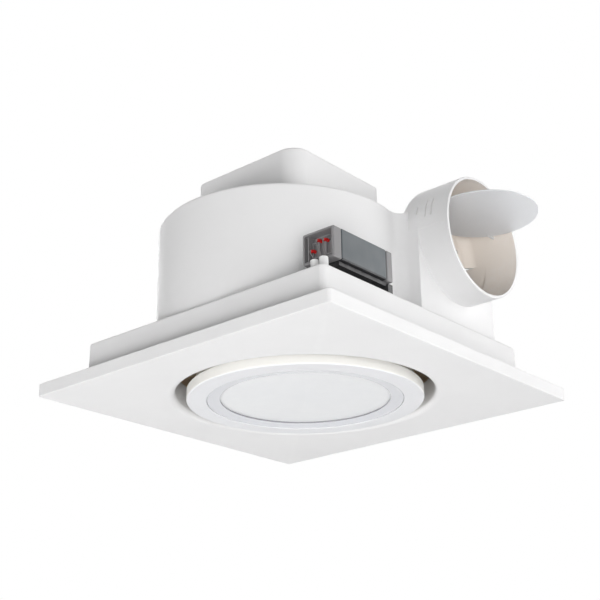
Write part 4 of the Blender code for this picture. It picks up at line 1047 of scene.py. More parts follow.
@dataclass
class Fascia(Assembly):
    """Square tray with a round inlet, its seat rib, lamp posts and snap posts."""

    half: float = 0.150
    depth: float = 0.0104
    wall: float = 0.0024
    corner: float = 0.0025
    edge: float = 0.0006
    rim_edge: float = 0.0005
    foot_edge: float = 0.0010
    floor_edge: float = 0.0008
    inlet: float = 0.104
    inlet_wall: float = 0.0024
    mouth: tuple = (0.0055, 0.0045)
    rise: float = 0.012
    seat_half: float = 0.129
    seat_wall: float = 0.002
    seat_top: float = -0.0025
    post: float = 0.004
    post_at: float = 0.110
    snap_at: tuple = (0.117, 0.070)
    snap_size: tuple = (0.002, 0.014)
    hook: tuple = (0.0019, 0.0053, 0.0083)
    margin: float = 0.02
    count: int = 256

    def tray(self) -> tuple:
        """The shell: circles up and down the inlet's wall, then rounded squares round the rim and back.

        Returns:
            Vertices and faces.
        """
        floor, edge = self.wall - self.depth, self.rim_edge
        outer, inner = self.inlet + self.inlet_wall, self.half - self.wall
        collar = softened([
            (outer + self.margin, floor),
            (outer, floor, self.foot_edge),
            (outer, self.rise, edge),
            (self.inlet, self.rise, edge),
            (self.inlet, 0),
        ])[1:-1]
        centre = (self.inlet + self.mouth[0], self.mouth[1] - self.depth)
        mouth = ellipse(centre, self.mouth, math.pi, 1.5 * math.pi, 12)
        rim = softened([
            (self.half - self.margin, -self.depth),
            (self.half, -self.depth, self.edge),
            (self.half, 0, edge),
            (inner, 0, edge),
            (inner, floor, self.floor_edge),
            (inner - self.margin, floor),
        ], 8)[1:-1]
        circles = lathe(np.concatenate([collar, mouth]), steps=self.count)
        squares = square_rings(rim, self.half, self.corner, self.count)
        return skin(np.concatenate([circles, squares]), closed=True)

    def ribs(self) -> list:
        """The square seat rib, four round lamp posts and four hooked snap posts.

        Returns:
            A list of forms.
        """
        low = self.wall - self.depth - BITE
        inner = self.seat_half - self.seat_wall
        rib = [(self.seat_half, low), (self.seat_half, self.seat_top), (inner, self.seat_top), (inner, low)]
        forms = [skin(square_rings(rib, self.seat_half, BITE, 64), closed=True)]
        for x, y in ((1, 0), (0, 1), (-1, 0), (0, -1)):
            forms.append(rod((x * self.post_at, y * self.post_at), self.post, low, self.rise))
        half = np.array(self.snap_size) / 2
        out, hook_low, hook_top = self.hook
        for x, y in FOUR_WAYS:
            middle = np.array([x, y]) * self.snap_at
            forms.append(block((*(middle - half), low), (*(middle + half), hook_top), FINE_EDGE))
            left, right = sorted(middle[0] + x * (half[0] + step) for step in (-BITE, out))
            hook = ((left, middle[1] - half[1], hook_low), (right, middle[1] + half[1], hook_top))
            forms.append(block(*hook, FINE_EDGE))
        return forms

    def build(self) -> None:
        """Makes the fascia and dresses it."""
        self.palette.place(solid("fascia_tray", self.tray(), *self.ribs()), Finish.WHITE, "fascia")


@dataclass
class MountingFrame(Assembly):
    """Tapered square skirt with a flange against the ceiling and a top plate with a round opening."""

    half: float = 0.124
    top_share: float = 0.9950
    corner: float = 0.0050
    inner_corner: float = 0.0010
    rise: float = 0.0341
    wall: float = 0.0024
    flange_half: float = 0.136
    flange_thick: float = 0.0022
    flange_corner: float = 0.008
    top_edge: float = 0.0020
    foot: tuple = (0.004, 0.0010)
    small_edge: float = 0.0004
    opening: float = 0.080
    margin: float = 0.02
    fixing: tuple = (0.130, 0.105)
    fixing_hole: tuple = (0.0022, -0.005, 0.002)
    lead_clear: float = 0.0007
    lead_drill: tuple = (0.02, 0.04)
    ledge: tuple = (0.018, 0.0030, 0.0050)
    ledge_at: tuple = (0.1183, 0.070)
    count: int = 256

    def shell(self) -> tuple:
        """The shell: flange, tapered skirt, plate out to the opening, and back down the inner faces.

        Returns:
            Vertices and faces.
        """
        inner, top, plate = self.half - self.wall, self.half * self.top_share, self.rise - self.wall
        base, edge = -self.flange_thick, self.small_edge
        flange = softened([
            (inner, base), (self.flange_half, base, edge), (self.flange_half, 0, edge), (self.half, 0)
        ])[1:-1]
        skirt = softened([
            (self.half + self.foot[0], 0),
            (self.half, 0, self.foot[1]),
            (top, self.rise, self.top_edge),
            (top - self.margin, self.rise),
        ], 8)[1:-1]
        outside = self.opening + self.margin
        hole = softened([
            (outside, self.rise),
            (self.opening, self.rise, edge),
            (self.opening, plate, edge),
            (outside, plate),
        ])[1:-1]
        under = [(inner * self.top_share, plate), (inner, base)]
        rings = [
            square_rings(flange, self.flange_half, self.flange_corner, self.count),
            square_rings(skirt, self.half, self.corner, self.count),
            lathe(hole, MOTOR_AXIS, self.count),
            square_rings(under, inner, self.inner_corner, self.count),
        ]
        return skin(np.concatenate(rings), closed=True)

    def ledges(self) -> list:
        """Four short ledges on the side walls, which the fascia's hooks stand on.

        Returns:
            A list of forms.
        """
        width, low, high = self.ledge
        forms = []
        for x, y in FOUR_WAYS:
            left, right = sorted((x * self.ledge_at[0], x * (self.half - self.wall / 2)))
            middle = y * self.ledge_at[1]
            forms.append(block((left, middle - width / 2, low), (right, middle + width / 2, high), FINE_EDGE))
        return forms

    def build(self) -> None:
        """Makes the frame, drills its holes and dresses it."""
        piece = solid("frame_skirt", self.shell())
        drills = [rod((x * self.fixing[0], y * self.fixing[1]), *self.fixing_hole) for x, y in FOUR_WAYS]
        for node, radius, y in (
            ("lamp_lead", Leads.lamp_radius, Leads.lamp_y),
            ("supply_lead", Leads.supply_radius, Leads.supply_y),
        ):
            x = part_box(node)[0].x + radius
            drills.append(rod((x, y), radius + self.lead_clear, *self.lead_drill, 48))
        combine(piece, Join.CUT, *[solid("drill", form) for form in drills])
        combine(piece, Join.ADD, solid("ledges", *self.ledges()))
        self.palette.place(piece, Finish.SKIRT, "mounting_frame")


@dataclass
class Housing(Assembly):
    """Drum with a widening scroll, outlet box, arch and round duct spigot, in one moulding."""

    drum: tuple = (-0.013, 0.013)
    radius: float = 0.102
    base: float = 0.0344
    top: float = 0.1316
    wall: float = 0.0025
    top_edge: float = 0.0027
    tongue_angle: float = math.radians(290)
    tongue_radius: float = 0.009
    tongue_rise: tuple = (0.0345, 0.1307)
    shoulder: float = 0.0036
    outlet: tuple = (0.0705, 0.1142)
    spigot: float = 0.0515
    spigot_wall: float = 0.0022
    spigot_end: float = 0.1333
    rim_edge: float = 0.0005
    step: float = 0.0004
    box_front: float = 0.105
    box_back: float = 0.060
    box_edge: float = 0.0008
    room_edge: float = 0.0005
    arch_back: float = 0.082
    arch_edge: float = 0.012
    passage: tuple = (0.036, 0.012)
    ear: tuple = (0.008, 0.0026, 0.0005)
    ear_out: float = 0.005
    ear_angles: tuple = (math.radians(210), math.radians(135), math.radians(45))
    tongue_ear: tuple = (0.0066, -0.099)
    ear_hole: tuple = (0.0018, -0.002, 0.006)
    motor_hole: tuple = (0.043, -0.005, 0.002)
    pivot: tuple = (-0.1146, 0.1342)
    slits: tuple = ((-0.0029, -0.0126, 0.0044), (0.0029, -0.0126, 0.0044), (0.0118, -0.0077, 0.0))
    slit_width: float = 0.0010
    slit_edge: float = 0.0001
    slit_reach: tuple = (0.0535, 0.0380)
    stop_half: float = 0.005
    stop_thick: tuple = (0.0009, 0.0029)
    stop_drop: float = 0.0615
    line_turn: float = math.radians(182)
    line_size: float = 0.0003
    line_ends: tuple = (0.002, 0.0006)

    @property
    def box_half(self) -> float:
        """Half width of the outlet box, a hair wider than the spigot."""
        return self.spigot + self.step

    @property
    def wide(self) -> float:
        """Radius of the scroll's wider arc."""
        return self.outlet[0] + self.spigot - self.drum[0]

    def outline(self, inset: float) -> np.ndarray:
        """Plan of drum and scroll: a wide quarter arc, a drum arc to the tongue and a straight front.

        Args:
            inset: How far inside the outer plan.

        Returns:
            Plan points, anticlockwise.
        """
        x, y = self.drum
        small, wide = self.radius - inset, self.wide - inset
        front, right = y + small * math.sin(self.tongue_angle), x + wide
        scroll = polar(wide, np.linspace(0, math.pi / 2, 60)) + (x, y + small - wide)
        round_drum = polar(small, np.linspace(math.pi / 2, self.tongue_angle, 130)[1:]) + (x, y)
        first, last = [(right, front + 2 * self.shoulder)], [(right - self.shoulder, front)]
        return np.concatenate([first, scroll, round_drum, last])

    def barrel(self, radius: float, end: float, back: float, edge: float, rim: tuple = ()) -> np.ndarray:
        """A round bar along -Y whose back edge is rounded: circles laid on their side.

        Args:
            radius: Its radius.
            end: How far in front of the origin it ends.
            back: How far in front of the origin it starts.
            edge: Radius of the back edge.
            rim: Radius of the front edge, where it isn't sharp.

        Returns:
            Rings of the bar.
        """
        profile = [(AXIS_HOLE, end), (radius, end, *rim), (radius, back, edge), (AXIS_HOLE, back)]
        rings = lathe(softened(profile, 12), steps=160)
        x, z = self.outlet
        return np.stack([rings[..., 0] + x, -rings[..., 2], rings[..., 1] + z], axis=-1)

    def mould_line(self) -> np.ndarray:
        """The fine raised line that a parting mould leaves along the spigot's side.

        Returns:
            Rings of the line.
        """
        x, z = np.array(self.outlet) + polar(self.spigot, np.array(self.line_turn))
        ends = (self.line_ends[0] - self.box_front, self.line_ends[1] - self.spigot_end)
        route = np.linspace((x, ends[0], z), (x, ends[1], z), 6)
        return tube(route, self.line_size, (0, 0, 1), 12)

    def tongue(self) -> np.ndarray:
        """The filler between drum and box: a hollow round that touches both.

        Returns:
            Its rings.
        """
        drum_x, drum_y = self.drum
        left = self.outlet[0] - self.box_half
        x = left - self.tongue_radius
        y = drum_y - math.sqrt((self.radius + self.tongue_radius) ** 2 - (x - drum_x) ** 2)
        hollow = polar(self.tongue_radius, np.linspace(math.atan2(drum_y - y, drum_x - x), 0, 24)) + (x, y)
        inner, deep = left + self.wall / 2, self.radius - self.wall / 2
        side = math.atan2(y - drum_y, x - drum_x)
        rest = [
            (inner, y),
            (inner, drum_y + deep * math.sin(self.tongue_angle)),
            (drum_x + deep * math.cos(side), drum_y + deep * math.sin(side)),
        ]
        plan = np.concatenate([hollow, rest])
        return lifted(np.broadcast_to(plan, (2, *plan.shape)), np.array(self.tongue_rise))

    def ears(self) -> list:
        """Screw ears round the foot, at the corners of the drum, scroll and tongue.

        Returns:
            A list of middles.
        """
        (x, y), out = self.drum, self.ear_out
        wide_y = y + self.radius - self.wide
        rows = [(y, self.radius), (y, self.radius), (wide_y, self.wide)]
        spots = [
            (x + (radius + out) * math.cos(angle), middle + (radius + out) * math.sin(angle))
            for (middle, radius), angle in zip(rows, self.ear_angles)
        ]
        return [*spots, (self.outlet[0] - self.box_half - self.tongue_ear[0], self.tongue_ear[1])]

    def outer(self) -> bpy.types.Object:
        """Drum, box, arch with spigot, tongue, mould line and ears, joined into one form.

        Returns:
            The joined object.
        """
        radius, thick, edge = self.ear
        x, z = self.outlet
        bend = self.top_edge
        rounding = ellipse((bend, self.top - bend), (-bend, bend), 0, math.pi / 2, 8)
        profile = np.concatenate([[(0, self.base)], rounding])
        body = solid("volute_housing", inset_rings(self.outline(0), profile))
        low = (x - self.box_half, -self.box_front, self.base)
        high = (x + self.box_half, -self.box_back, z + self.step)
        ear_top = self.base + thick
        ear = softened([(AXIS_HOLE, ear_top), (radius, ear_top, edge), (radius, self.base)])
        forms = [
            block(low, high, self.box_edge),
            self.barrel(self.spigot, self.spigot_end, self.arch_back, self.arch_edge, (self.rim_edge,)),
            self.tongue(),
            self.mould_line(),
            *[lathe(ear, spot, 48) for spot in self.ears()],
        ]
        return combine(body, Join.ADD, *[solid("outer_form", form) for form in forms])

    def inner(self) -> bpy.types.Object:
        """The air's way: drum, box, bore and the passage between them, joined into one form.

        Returns:
            The joined object.
        """
        (x, z), wall = self.outlet, self.wall
        ceiling, half = self.top - wall, self.box_half - wall
        space = solid("air_space", inset_rings(self.outline(wall), [(0, self.base - OVERRUN), (0, ceiling)]))
        low = (x - half, wall - self.box_front, self.base - 2 * OVERRUN)
        room = block(low, (x + half, -self.box_back, z + self.step), self.room_edge)
        bore = self.barrel(
            self.spigot - self.spigot_wall,
            self.spigot_end + OVERRUN,
            self.arch_back + self.spigot_wall,
            self.arch_edge - self.spigot_wall,
        )
        wide, deep = self.passage
        start = -self.arch_back - self.spigot_wall - 2 * BITE
        way = block((x - wide, start, z - OVERRUN), (x + wide, start + deep, ceiling - BITE), FINE_EDGE)
        return combine(space, Join.ADD, *[solid("inner_form", form) for form in (room, bore, way)])

    def openings(self) -> list:
        """Cutters for the hinge slits, the motor's opening and the ears' holes.

        Returns:
            A list of objects.
        """
        x = self.outlet[0]
        y, z = self.pivot
        outer, inner = self.slit_reach
        half = self.slit_width / 2
        forms = [
            block(
                (x - outer, y + back - half, z + low), (x - inner, y + back + half, z + high), self.slit_edge
            )
            for back, low, high in self.slits
        ]
        radius, low, high = self.motor_hole
        forms.append(rod(MOTOR_AXIS, radius, self.top + low, self.top + high, 128))
        radius, low, high = self.ear_hole
        forms += [rod(spot, radius, self.base + low, self.base + high) for spot in self.ears()]
        return [solid("opening", form) for form in forms]

    def build(self) -> None:
        """Makes the housing with its stop for the flap, and dresses it."""
        space = combine(self.inner(), Join.ADD, *self.openings())
        piece = combine(self.outer(), Join.CUT, space)
        (x, z), (y, pivot_z) = self.outlet, self.pivot
        low = (x - self.stop_half, y + self.stop_thick[0], z - self.spigot + self.spigot_wall / 2)
        high = (x + self.stop_half, y + self.stop_thick[1], pivot_z - self.stop_drop)
        combine(piece, Join.ADD, solid("flap_stop", block(low, high, self.step)))
        self.palette.place(piece, Finish.HOUSING, "fan_housing", 28)


@dataclass
class MotorCover(Assembly):
    """Square cap with round corners over the motor."""

    centre: tuple = (-0.0107, 0.0052)
    half: float = 0.0548
    corner: tuple = (0.0165, 0.0050, 0.0165, 0.0050)
    base: float = 0.1319
    top: float = 0.1775
    wall: float = 0.0024
    edge: float = 0.0025
    roof_edge: float = 0.0005
    top_share: float = 0.99
    roof_reach: float = 0.02
    boss: float = 0.0045
    boss_at: float = 0.0395
    count: int = 192

    def shell(self) -> np.ndarray:
        """The cap: rounded squares up the outside, over the edge to the roof, and down the inside.

        Returns:
            Its rings.
        """
        outside = softened([
            (self.half, self.base),
            (self.half * self.top_share, self.top, self.edge),
            (self.roof_reach, self.top),
        ], 8)[:-1]
        foot, roof, edge = self.half - self.wall, self.top - self.wall, self.roof_edge
        inside = foot * self.top_share
        hollow = [(inside - edge, roof), (inside, roof - edge), (foot, self.base)]
        profile = np.concatenate([outside[::-1], hollow[::-1]])
        return square_rings(profile, self.half, self.corner, self.count, self.centre)

    def build(self) -> None:
        """Makes the cap with the four bosses that its screws bite into, and dresses it."""
        spots = [(MOTOR_AXIS[0] + x * self.boss_at, MOTOR_AXIS[1] + y * self.boss_at) for x, y in FOUR_WAYS]
        top = self.top - self.wall + 2 * BITE
        bosses = [rod(spot, self.boss, self.base, top) for spot in spots]
        self.palette.place(solid("motor_cap", self.shell(), *bosses), Finish.WHITE, "motor_cover")


@dataclass
class BackdraftFlap(Assembly):
    """Thin milky disc on two trunnions, standing open across the spigot's mouth."""

    hinge: tuple = (0.0705, -0.1146, 0.1342)
    offset: float = 0.020
    radius: float = 0.0445
    thick: float = 0.0012
    rim: tuple = (0.0022, 0.0016)
    thin_share: float = 0.8
    edge_share: float = 0.7
    trunnion: float = 0.0013
    root: float = 0.036
    reach: float = 0.0461

    def disc(self) -> np.ndarray:
        """The disc: circles from the middle out and round a full edge, a little thinner than the rim.

        Returns:
            Its rings.
        """
        half = self.thick / 2
        thin, edge = half * self.thin_share, half * self.edge_share
        profile = softened([
            (AXIS_HOLE, thin),
            (self.radius - self.rim[0], thin),
            (self.radius - self.rim[1], half),
            (self.radius, half, edge),
            (self.radius, -half, edge),
            (AXIS_HOLE, -half),
        ], 4)
        return lathe(profile, steps=160) + np.array(self.hinge) - (0, self.offset, 0)

    def build(self) -> None:
        """Makes the flap with its trunnions and dresses it."""
        pins = []
        for side in (1, -1):
            start, end = sorted((side * self.root, side * self.reach))
            route = np.linspace((start, 0, 0), (end, 0, 0), 6) + self.hinge
            pins.append(tube(route, self.trunnion, (0, 0, 1), 32))
        piece = solid("milky_flap", self.disc(), *pins)
        self.palette.place(piece, Finish.MILKY, "backdraft_flap", body=Body.FLAP)


@dataclass
class Lamp(Assembly):
    """Round lamp in the inlet: trim ring, clear ring, diffuser and pan."""

    face: float = -0.0130
    trim_out: float = 0.0950
    trim_in: float = 0.079
    trim_top: float = -0.0102
    trim_edges: tuple = (0.0006, 0.0012, 0.0004)
    skirt: tuple = (0.0062, 0.0020)
    step_out: float = 0.0030
    step_up: float = 0.0016
    gap: float = 0.0003
    lens_in: float = 0.0682
    lens_recess: float = 0.0004
    lens_edge: float = 0.0009
    lens_rounds: tuple = (0.0005, 0.0001)
    pan: float = 0.088
    pan_top: float = 0.0080
    pan_edges: tuple = (0.0022, 0.0003, 0.0008)
    lip: float = 0.070
    wall: float = 0.0024
    lip_thick: float = 0.0023
    diffuser_thick: float = 0.0020
    gland: tuple = (-0.050, -0.050)
    gland_radius: float = 0.0040

    def trim(self) -> np.ndarray:
        """The flat trim ring's profile, with a round outer edge and a rebate for the clear ring.

        Returns:
            The profile.
        """
        step, rebate = self.trim_in + self.step_out, self.face + self.step_up
        inside, skirt_top = self.trim_out - self.skirt[1], self.trim_top + self.skirt[0]
        top, outer, inner = self.trim_edges
        return softened([
            (inside, self.trim_top),
            (inside, skirt_top),
            (self.trim_out, skirt_top, top),
            (self.trim_out, self.face, outer),
            (self.trim_in, self.face, inner),
            (self.trim_in, rebate),
            (step, rebate),
            (step, self.trim_top),
        ], 8)

    def lens(self) -> np.ndarray:
        """The clear ring's profile, whose face slopes up to the diffuser.

        Returns:
            The profile.
        """
        step, rebate = self.trim_in + self.step_out - self.gap, self.face + self.step_up + self.gap
        outer, inner = self.lens_rounds
        return softened([
            (step, self.trim_top),
            (step, rebate),
            (self.trim_in - self.gap, rebate),
            (self.trim_in - self.gap, self.face + self.lens_recess, outer),
            (self.lens_in, self.trim_top - self.lens_edge, inner),
            (self.lens_in, self.trim_top),
        ])

    def shell(self, base: float, back: float) -> np.ndarray:
        """The pan's profile: out over its back, down its wall and in round the lip.

        Args:
            base: Height of its foot.
            back: Height of its back's inner face.

        Returns:
            The profile.
        """
        shoulder, foot, inner = self.pan_edges
        lip, wall = base + self.lip_thick, self.pan - self.wall
        return softened([
            (AXIS_HOLE, self.pan_top),
            (self.pan, self.pan_top, shoulder),
            (self.pan, base, foot),
            (self.lip, base, foot),
            (self.lip, lip),
            (wall, lip),
            (wall, back, inner),
            (AXIS_HOLE, back),
        ])

    def build(self) -> None:
        """Makes the lamp's pieces and dresses them."""
        place = self.palette.place
        for name, profile, finish, node in (
            ("trim_ring", self.trim(), Finish.TRIM, "lamp_trim_ring"),
            ("lens_ring", self.lens(), Finish.CLEAR, "lamp_lens_ring"),
        ):
            place(solid(name, skin(lathe(profile, steps=256), closed=True)), finish, node)
        base, back, reach = self.trim_top + self.gap, self.pan_top - self.wall, self.lip - self.gap
        top = base + self.diffuser_thick
        disc = lathe([(AXIS_HOLE, top), (reach, top), (reach, base), (AXIS_HOLE, base)])
        place(solid("diffuser_disc", disc), Finish.OPAL, "lamp_diffuser")
        pan = solid("lamp_pan", lathe(self.shell(base, back)))
        drill = rod(self.gland, self.gland_radius, back - OVERRUN, self.pan_top + OVERRUN, 48)
        place(combine(pan, Join.CUT, solid("drill", drill)), Finish.CREAM, "lamp_body")


@dataclass
class InletBell(Assembly):
    """Bell mouth under the wheel."""

    radius: float = 0.092
    thick: float = 0.0020
    bell: float = 0.078
    throat: float = 0.060
    low: float = 0.0344
    rise: float = 0.0126

    def build(self) -> None:
        """Makes the ring as a quarter-ellipse wall and dresses it."""
        centre, sweep = (self.bell, self.low + self.rise), (1.5 * math.pi, math.pi, 16)
        sizes = np.array([self.bell - self.throat, self.rise])
        inner, outer = ellipse(centre, sizes, *sweep), ellipse(centre, sizes - self.thick, *sweep)[::-1]
        rim = [(self.radius, self.low + self.thick), (self.radius, self.low)]
        piece = solid("inlet_bell", skin(lathe(np.concatenate([rim, inner, outer]), MOTOR_AXIS), closed=True))
        self.palette.place(piece, Finish.WHITE, "inlet_ring")


@dataclass
class Driver(Assembly):
    """The lamp's driver: case, two end caps and its terminals."""

    case_edge: float = 0.0009
    case_wall: float = 0.0016
    cap_edge: float = 0.0011
    cap_wall: float = 0.0020
    cap_floor: float = 0.0015
    small_edge: float = 0.0004
    thin_edge: float = 0.0002
    sleeve_open: float = 0.004
    divider_in: tuple = (0.0012, 0.0008)
    divider_side: tuple = (0.0010, 0.0020)
    shelf_in: float = 0.0020
    shelf_side: float = 0.0012
    shelf_up: float = 0.0014
    plug_in: float = 0.0019
    plug_long: float = 0.001
    far_start: float = 0.0008
    cell_share: float = 0.34
    cell_edge: float = 0.0012
    cell_deep: tuple = (0.001, 0.0022)

    def case(self) -> bpy.types.Object:
        """The case, an open sleeve with round edges.

        Returns:
            The object.
        """
        low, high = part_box("driver_case")
        inset = Vector((-self.sleeve_open, self.case_wall, self.case_wall))
        sleeve = solid("driver_sleeve", block(low, high, self.case_edge, 0, 48))
        return combine(sleeve, Join.CUT, solid("room", block(low + inset, high - inset, self.small_edge, 0)))

    def near_cap(self) -> bpy.types.Object:
        """The open end cap, with a divider beside the terminals and a shelf for the sheaths.

        Returns:
            The object.
        """
        low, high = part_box("driver_cap_near")
        near, far = (corner.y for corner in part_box("driver_terminals"))
        wall = self.cap_wall
        room_low = (low.x - OVERRUN, low.y + wall, low.z + wall)
        room_high = (high.x - self.cap_floor, high.y - wall, high.z - wall)
        base = room_low[2] - BITE
        cap = solid("driver_cap_open", block(low, high, self.cap_edge, 0, 48))
        combine(cap, Join.CUT, solid("room", block(room_low, room_high, BITE, 0)))
        back = high.x - self.divider_in[1]
        divider = block(
            (low.x + self.divider_in[0], far + self.divider_side[0], base),
            (back, far + self.divider_side[1], room_high[2] + BITE),
            self.thin_edge,
        )
        shelf = block(
            (low.x + self.shelf_in, near, base),
            (back, far + self.shelf_side, room_low[2] + self.shelf_up),
            self.thin_edge,
        )
        return combine(cap, Join.ADD, solid("divider", divider), solid("shelf", shelf))

    def far_cap(self) -> bpy.types.Object:
        """The closed end cap, with its plug.

        Returns:
            The object.
        """
        low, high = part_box("driver_cap_far")
        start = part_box("driver_case")[1].x + self.far_start
        inset = Vector((0, self.plug_in, self.plug_in))
        plug = block(low + inset, Vector((start + self.plug_long, high.y, high.z)) - inset, FINE_EDGE, 0)
        body = solid("driver_cap_closed", block((start, low.y, low.z), high, self.cap_edge, 0, 48))
        return combine(body, Join.ADD, solid("plug", plug))

    def terminals(self) -> bpy.types.Object:
        """The terminal block: three cells with ribs between them.

        Returns:
            The object.
        """
        low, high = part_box("driver_terminals")
        cell = (high.y - low.y) / 3
        half, edge = cell * self.cell_share, self.cell_edge
        front, back = low.x - self.cell_deep[0], low.x + self.cell_deep[1]
        rooms = [
            block((front, y - half, low.z + edge), (back, y + half, high.z - edge), FINE_EDGE)
            for y in (low.y + cell * (k + 0.5) for k in range(3))
        ]
        piece = solid("driver_terminal_block", block(low, high, self.small_edge, 0))
        return combine(piece, Join.CUT, *[solid("cell", room) for room in rooms])

    def build(self) -> None:
        """Makes the driver's pieces and dresses them."""
        self.palette.place(self.case(), Finish.SLATE, "driver_case")
        self.palette.place(self.near_cap(), Finish.GREY, "driver_cap_near")
        self.palette.place(self.far_cap(), Finish.GREY, "driver_cap_far")
        self.palette.place(self.terminals(), Finish.GREY, "driver_terminals")


@dataclass
class Leads(Assembly):
    """Two white sheathed leads through the frame's plate, and the red cores at the terminals."""

    lead_x: float = -0.1102
    lamp_y: float = -0.1130
    supply_y: float = -0.1045
    lamp_radius: float = 0.0033
    supply_radius: float = 0.0030
    plate: float = 0.0317
    over: float = 0.0186
    core: float = 0.0010
    core_thin: float = 0.00045
    core_thick: float = 0.00125
    core_side: float = 0.0014
    core_ends: tuple = (0.80, 0.88, 0.38)
    sheath_wall: float = 0.0009
    mouth: float = 0.0025
    gap: float = 0.0003
    lamp_end: float = 0.0024
    smooth: float = 50

    def sheath(self, name: str, points: list, radius: float, side: tuple, node: str) -> None:
        """Makes a round lead whose upper end is an open sheath with a rim, and dresses it.

        Args:
            name: The piece's name.
            points: Points that its middle line passes, from its upper end.
            radius: Its radius.
            side: A direction that it never follows.
            node: The solid that it replaces.
        """
        route = smooth_route(points)
        ahead = (route[1] - route[0]) / np.linalg.norm(route[1] - route[0])
        inner = tube(route[0] + np.array([[self.mouth], [0.0]]) * ahead, radius - self.sheath_wall, side, 32)
        piece = solid(name, np.concatenate([inner, tube(route, radius, side, 32)]))
        self.palette.place(piece, Finish.LEAD, node, self.smooth)

    def cores(self, top: float) -> None:
        """Makes the red cores that bend from the sheaths into the terminals.

        Args:
            top: Height of the sheaths' upper ends.
        """
        low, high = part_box("driver_terminals")
        x, r, end_x, start = self.lead_x, self.core, low.x - self.gap, top + self.gap
        cell = (high.y - low.y) / 3
        sources = (self.lamp_y - self.core_side, self.lamp_y + self.core_side, self.supply_y)
        for k, (y, share) in enumerate(zip(sources, self.core_ends)):
            end_y, end_z = low.y + cell * (k + 0.5), low.z + (high.z - low.z) * share
            route = smooth_route([
                (x, y, start),
                (x, (2 * y + end_y) / 3, (2 * start + end_z) / 3),
                (x + r, end_y, end_z - 2 * r),
                (end_x - 2 * r, end_y, end_z),
                (end_x, end_y, end_z),
            ])
            radius = np.interp(route[:, 0], (x + r, x + 2 * r), (self.core_thin, self.core_thick))
            piece = solid(f"red_core_{k + 1}", tube(route, radius, (0, 1, 0.05), 20))
            self.palette.place(piece, Finish.RED, f"lead_core_{k + 1}", self.smooth)

    def build(self) -> None:
        """Makes the leads and the cores and dresses them."""
        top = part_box("driver_cap_near")[0].z - self.gap
        x, y, r = self.lead_x, self.lamp_y, self.lamp_radius
        gland_x, gland_y = Lamp.gland
        self.sheath("lamp_sheath", [
            (x, y, top),
            (x, y, self.plate),
            (x + 2 * r, y + 2 * r, self.over),
            ((x + gland_x) / 2, (y + gland_y) / 2, self.over),
            (gland_x - r, gland_y - r, self.over),
            (gland_x, gland_y, Lamp.pan_top + r),
            (gland_x, gland_y, Lamp.pan_top - self.lamp_end),
        ], r, (0.72, -0.69, 0), "lamp_lead")
        low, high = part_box("supply_terminal")
        y, r = self.supply_y, self.supply_radius
        end_x, end_z = (3 * low.x + high.x) / 4, (low.z + high.z) / 2
        self.sheath("supply_sheath", [
            (x, y, top),
            (x, y, self.plate),
            (x + r, y + 2 * r, end_z),
            (end_x, low.y - 4 * r, end_z),
            (end_x, low.y - 2 * r, end_z),
            (end_x, low.y - self.gap, end_z),
        ], r, (1, 0.02, 0), "supply_lead")
        self.cores(top)


class Facing(Enum):
    """Which way a screw's head faces."""

    UP = 1
    DOWN = -1


@dataclass
class Screws(Assembly):
    """Pan-headed screws with a cross recess, one for each screw of the frame."""

    head: float = 0.0033
    head_high: float = 0.0019
    dome: float = 0.00055
    rim: tuple = (0.0009, 0.15)
    shank: float = 0.0015
    thread: float = 0.00022
    tip: tuple = (0.4, 0.0006)
    cross: tuple = (0.0019, 0.00015)
    cross_width: tuple = (0.00042, 0.00012)
    cross_deep: float = 0.0010
    pitch: float = 0.0011
    neck: float = 0.0002
    steps: int = 48

    def form(self, spot: tuple, low: float, high: float, facing: Facing) -> np.ndarray:
        """One screw: a domed head with a cross pressed in, and a threaded shank.

        The head's height falls with the square of the radius, less the recess where either flat
        coordinate is small and the radius is inside the cross. The shank's radius is a saw wave.

        Args:
            spot: Place of its axis.
            low: Lowest height.
            high: Highest height.
            facing: Which way the head faces.

        Returns:
            Its rings.
        """
        length = high - low
        shares = np.concatenate([np.linspace(0.04, 0.66, 12), np.linspace(0.72, 1.0, 8)])
        radius = self.head * shares
        flat = polar(radius[:, None], full_circle(self.steps)[None])
        drop, part = self.rim
        dome = self.dome * shares**2 + drop * np.clip(shares - 1 + part, 0, 1) ** 2 / part**2
        near = np.minimum(np.abs(flat[..., 0]), np.abs(flat[..., 1]))
        press = np.clip((self.cross_width[0] - near) / self.cross_width[1] + 0.5, 0, 1)
        press *= np.clip((self.cross[0] - radius[:, None]) / self.cross[1] + 0.5, 0, 1)
        height = -dome[:, None] - self.cross_deep * press
        head = np.concatenate([flat, height[..., None]], axis=2)
        down = np.arange(self.head_high + self.neck, length - self.tip[1], self.pitch / 4)
        saw = np.abs(((down / self.pitch) % 1.0) * 2 - 1)
        stem = np.stack([self.shank - self.thread * saw, -down], axis=1)
        under = [(self.head, -self.head_high), (self.shank, -self.head_high)]
        profile = np.concatenate([under, stem, [(self.shank * self.tip[0], -length)]])
        rings = np.concatenate([head, lathe(profile, steps=self.steps)]) * (1.0, 1.0, facing.value)
        return rings + (*spot, high if facing is Facing.UP else low)

    def build(self) -> None:
        """Makes every screw where its node is and dresses it."""
        hanging = ("motor_screw", "cover_screw", "cradle_screw")
        for node in sorted(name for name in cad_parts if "_screw_" in name):
            low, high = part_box(node)
            facing = Facing.DOWN if node.startswith(hanging) else Facing.UP
            form = self.form(((low + high) / 2)[:2], low.z, high.z, facing)
            self.palette.place(solid(f"{node}_cross_head", form), Finish.STEEL, node, 40)


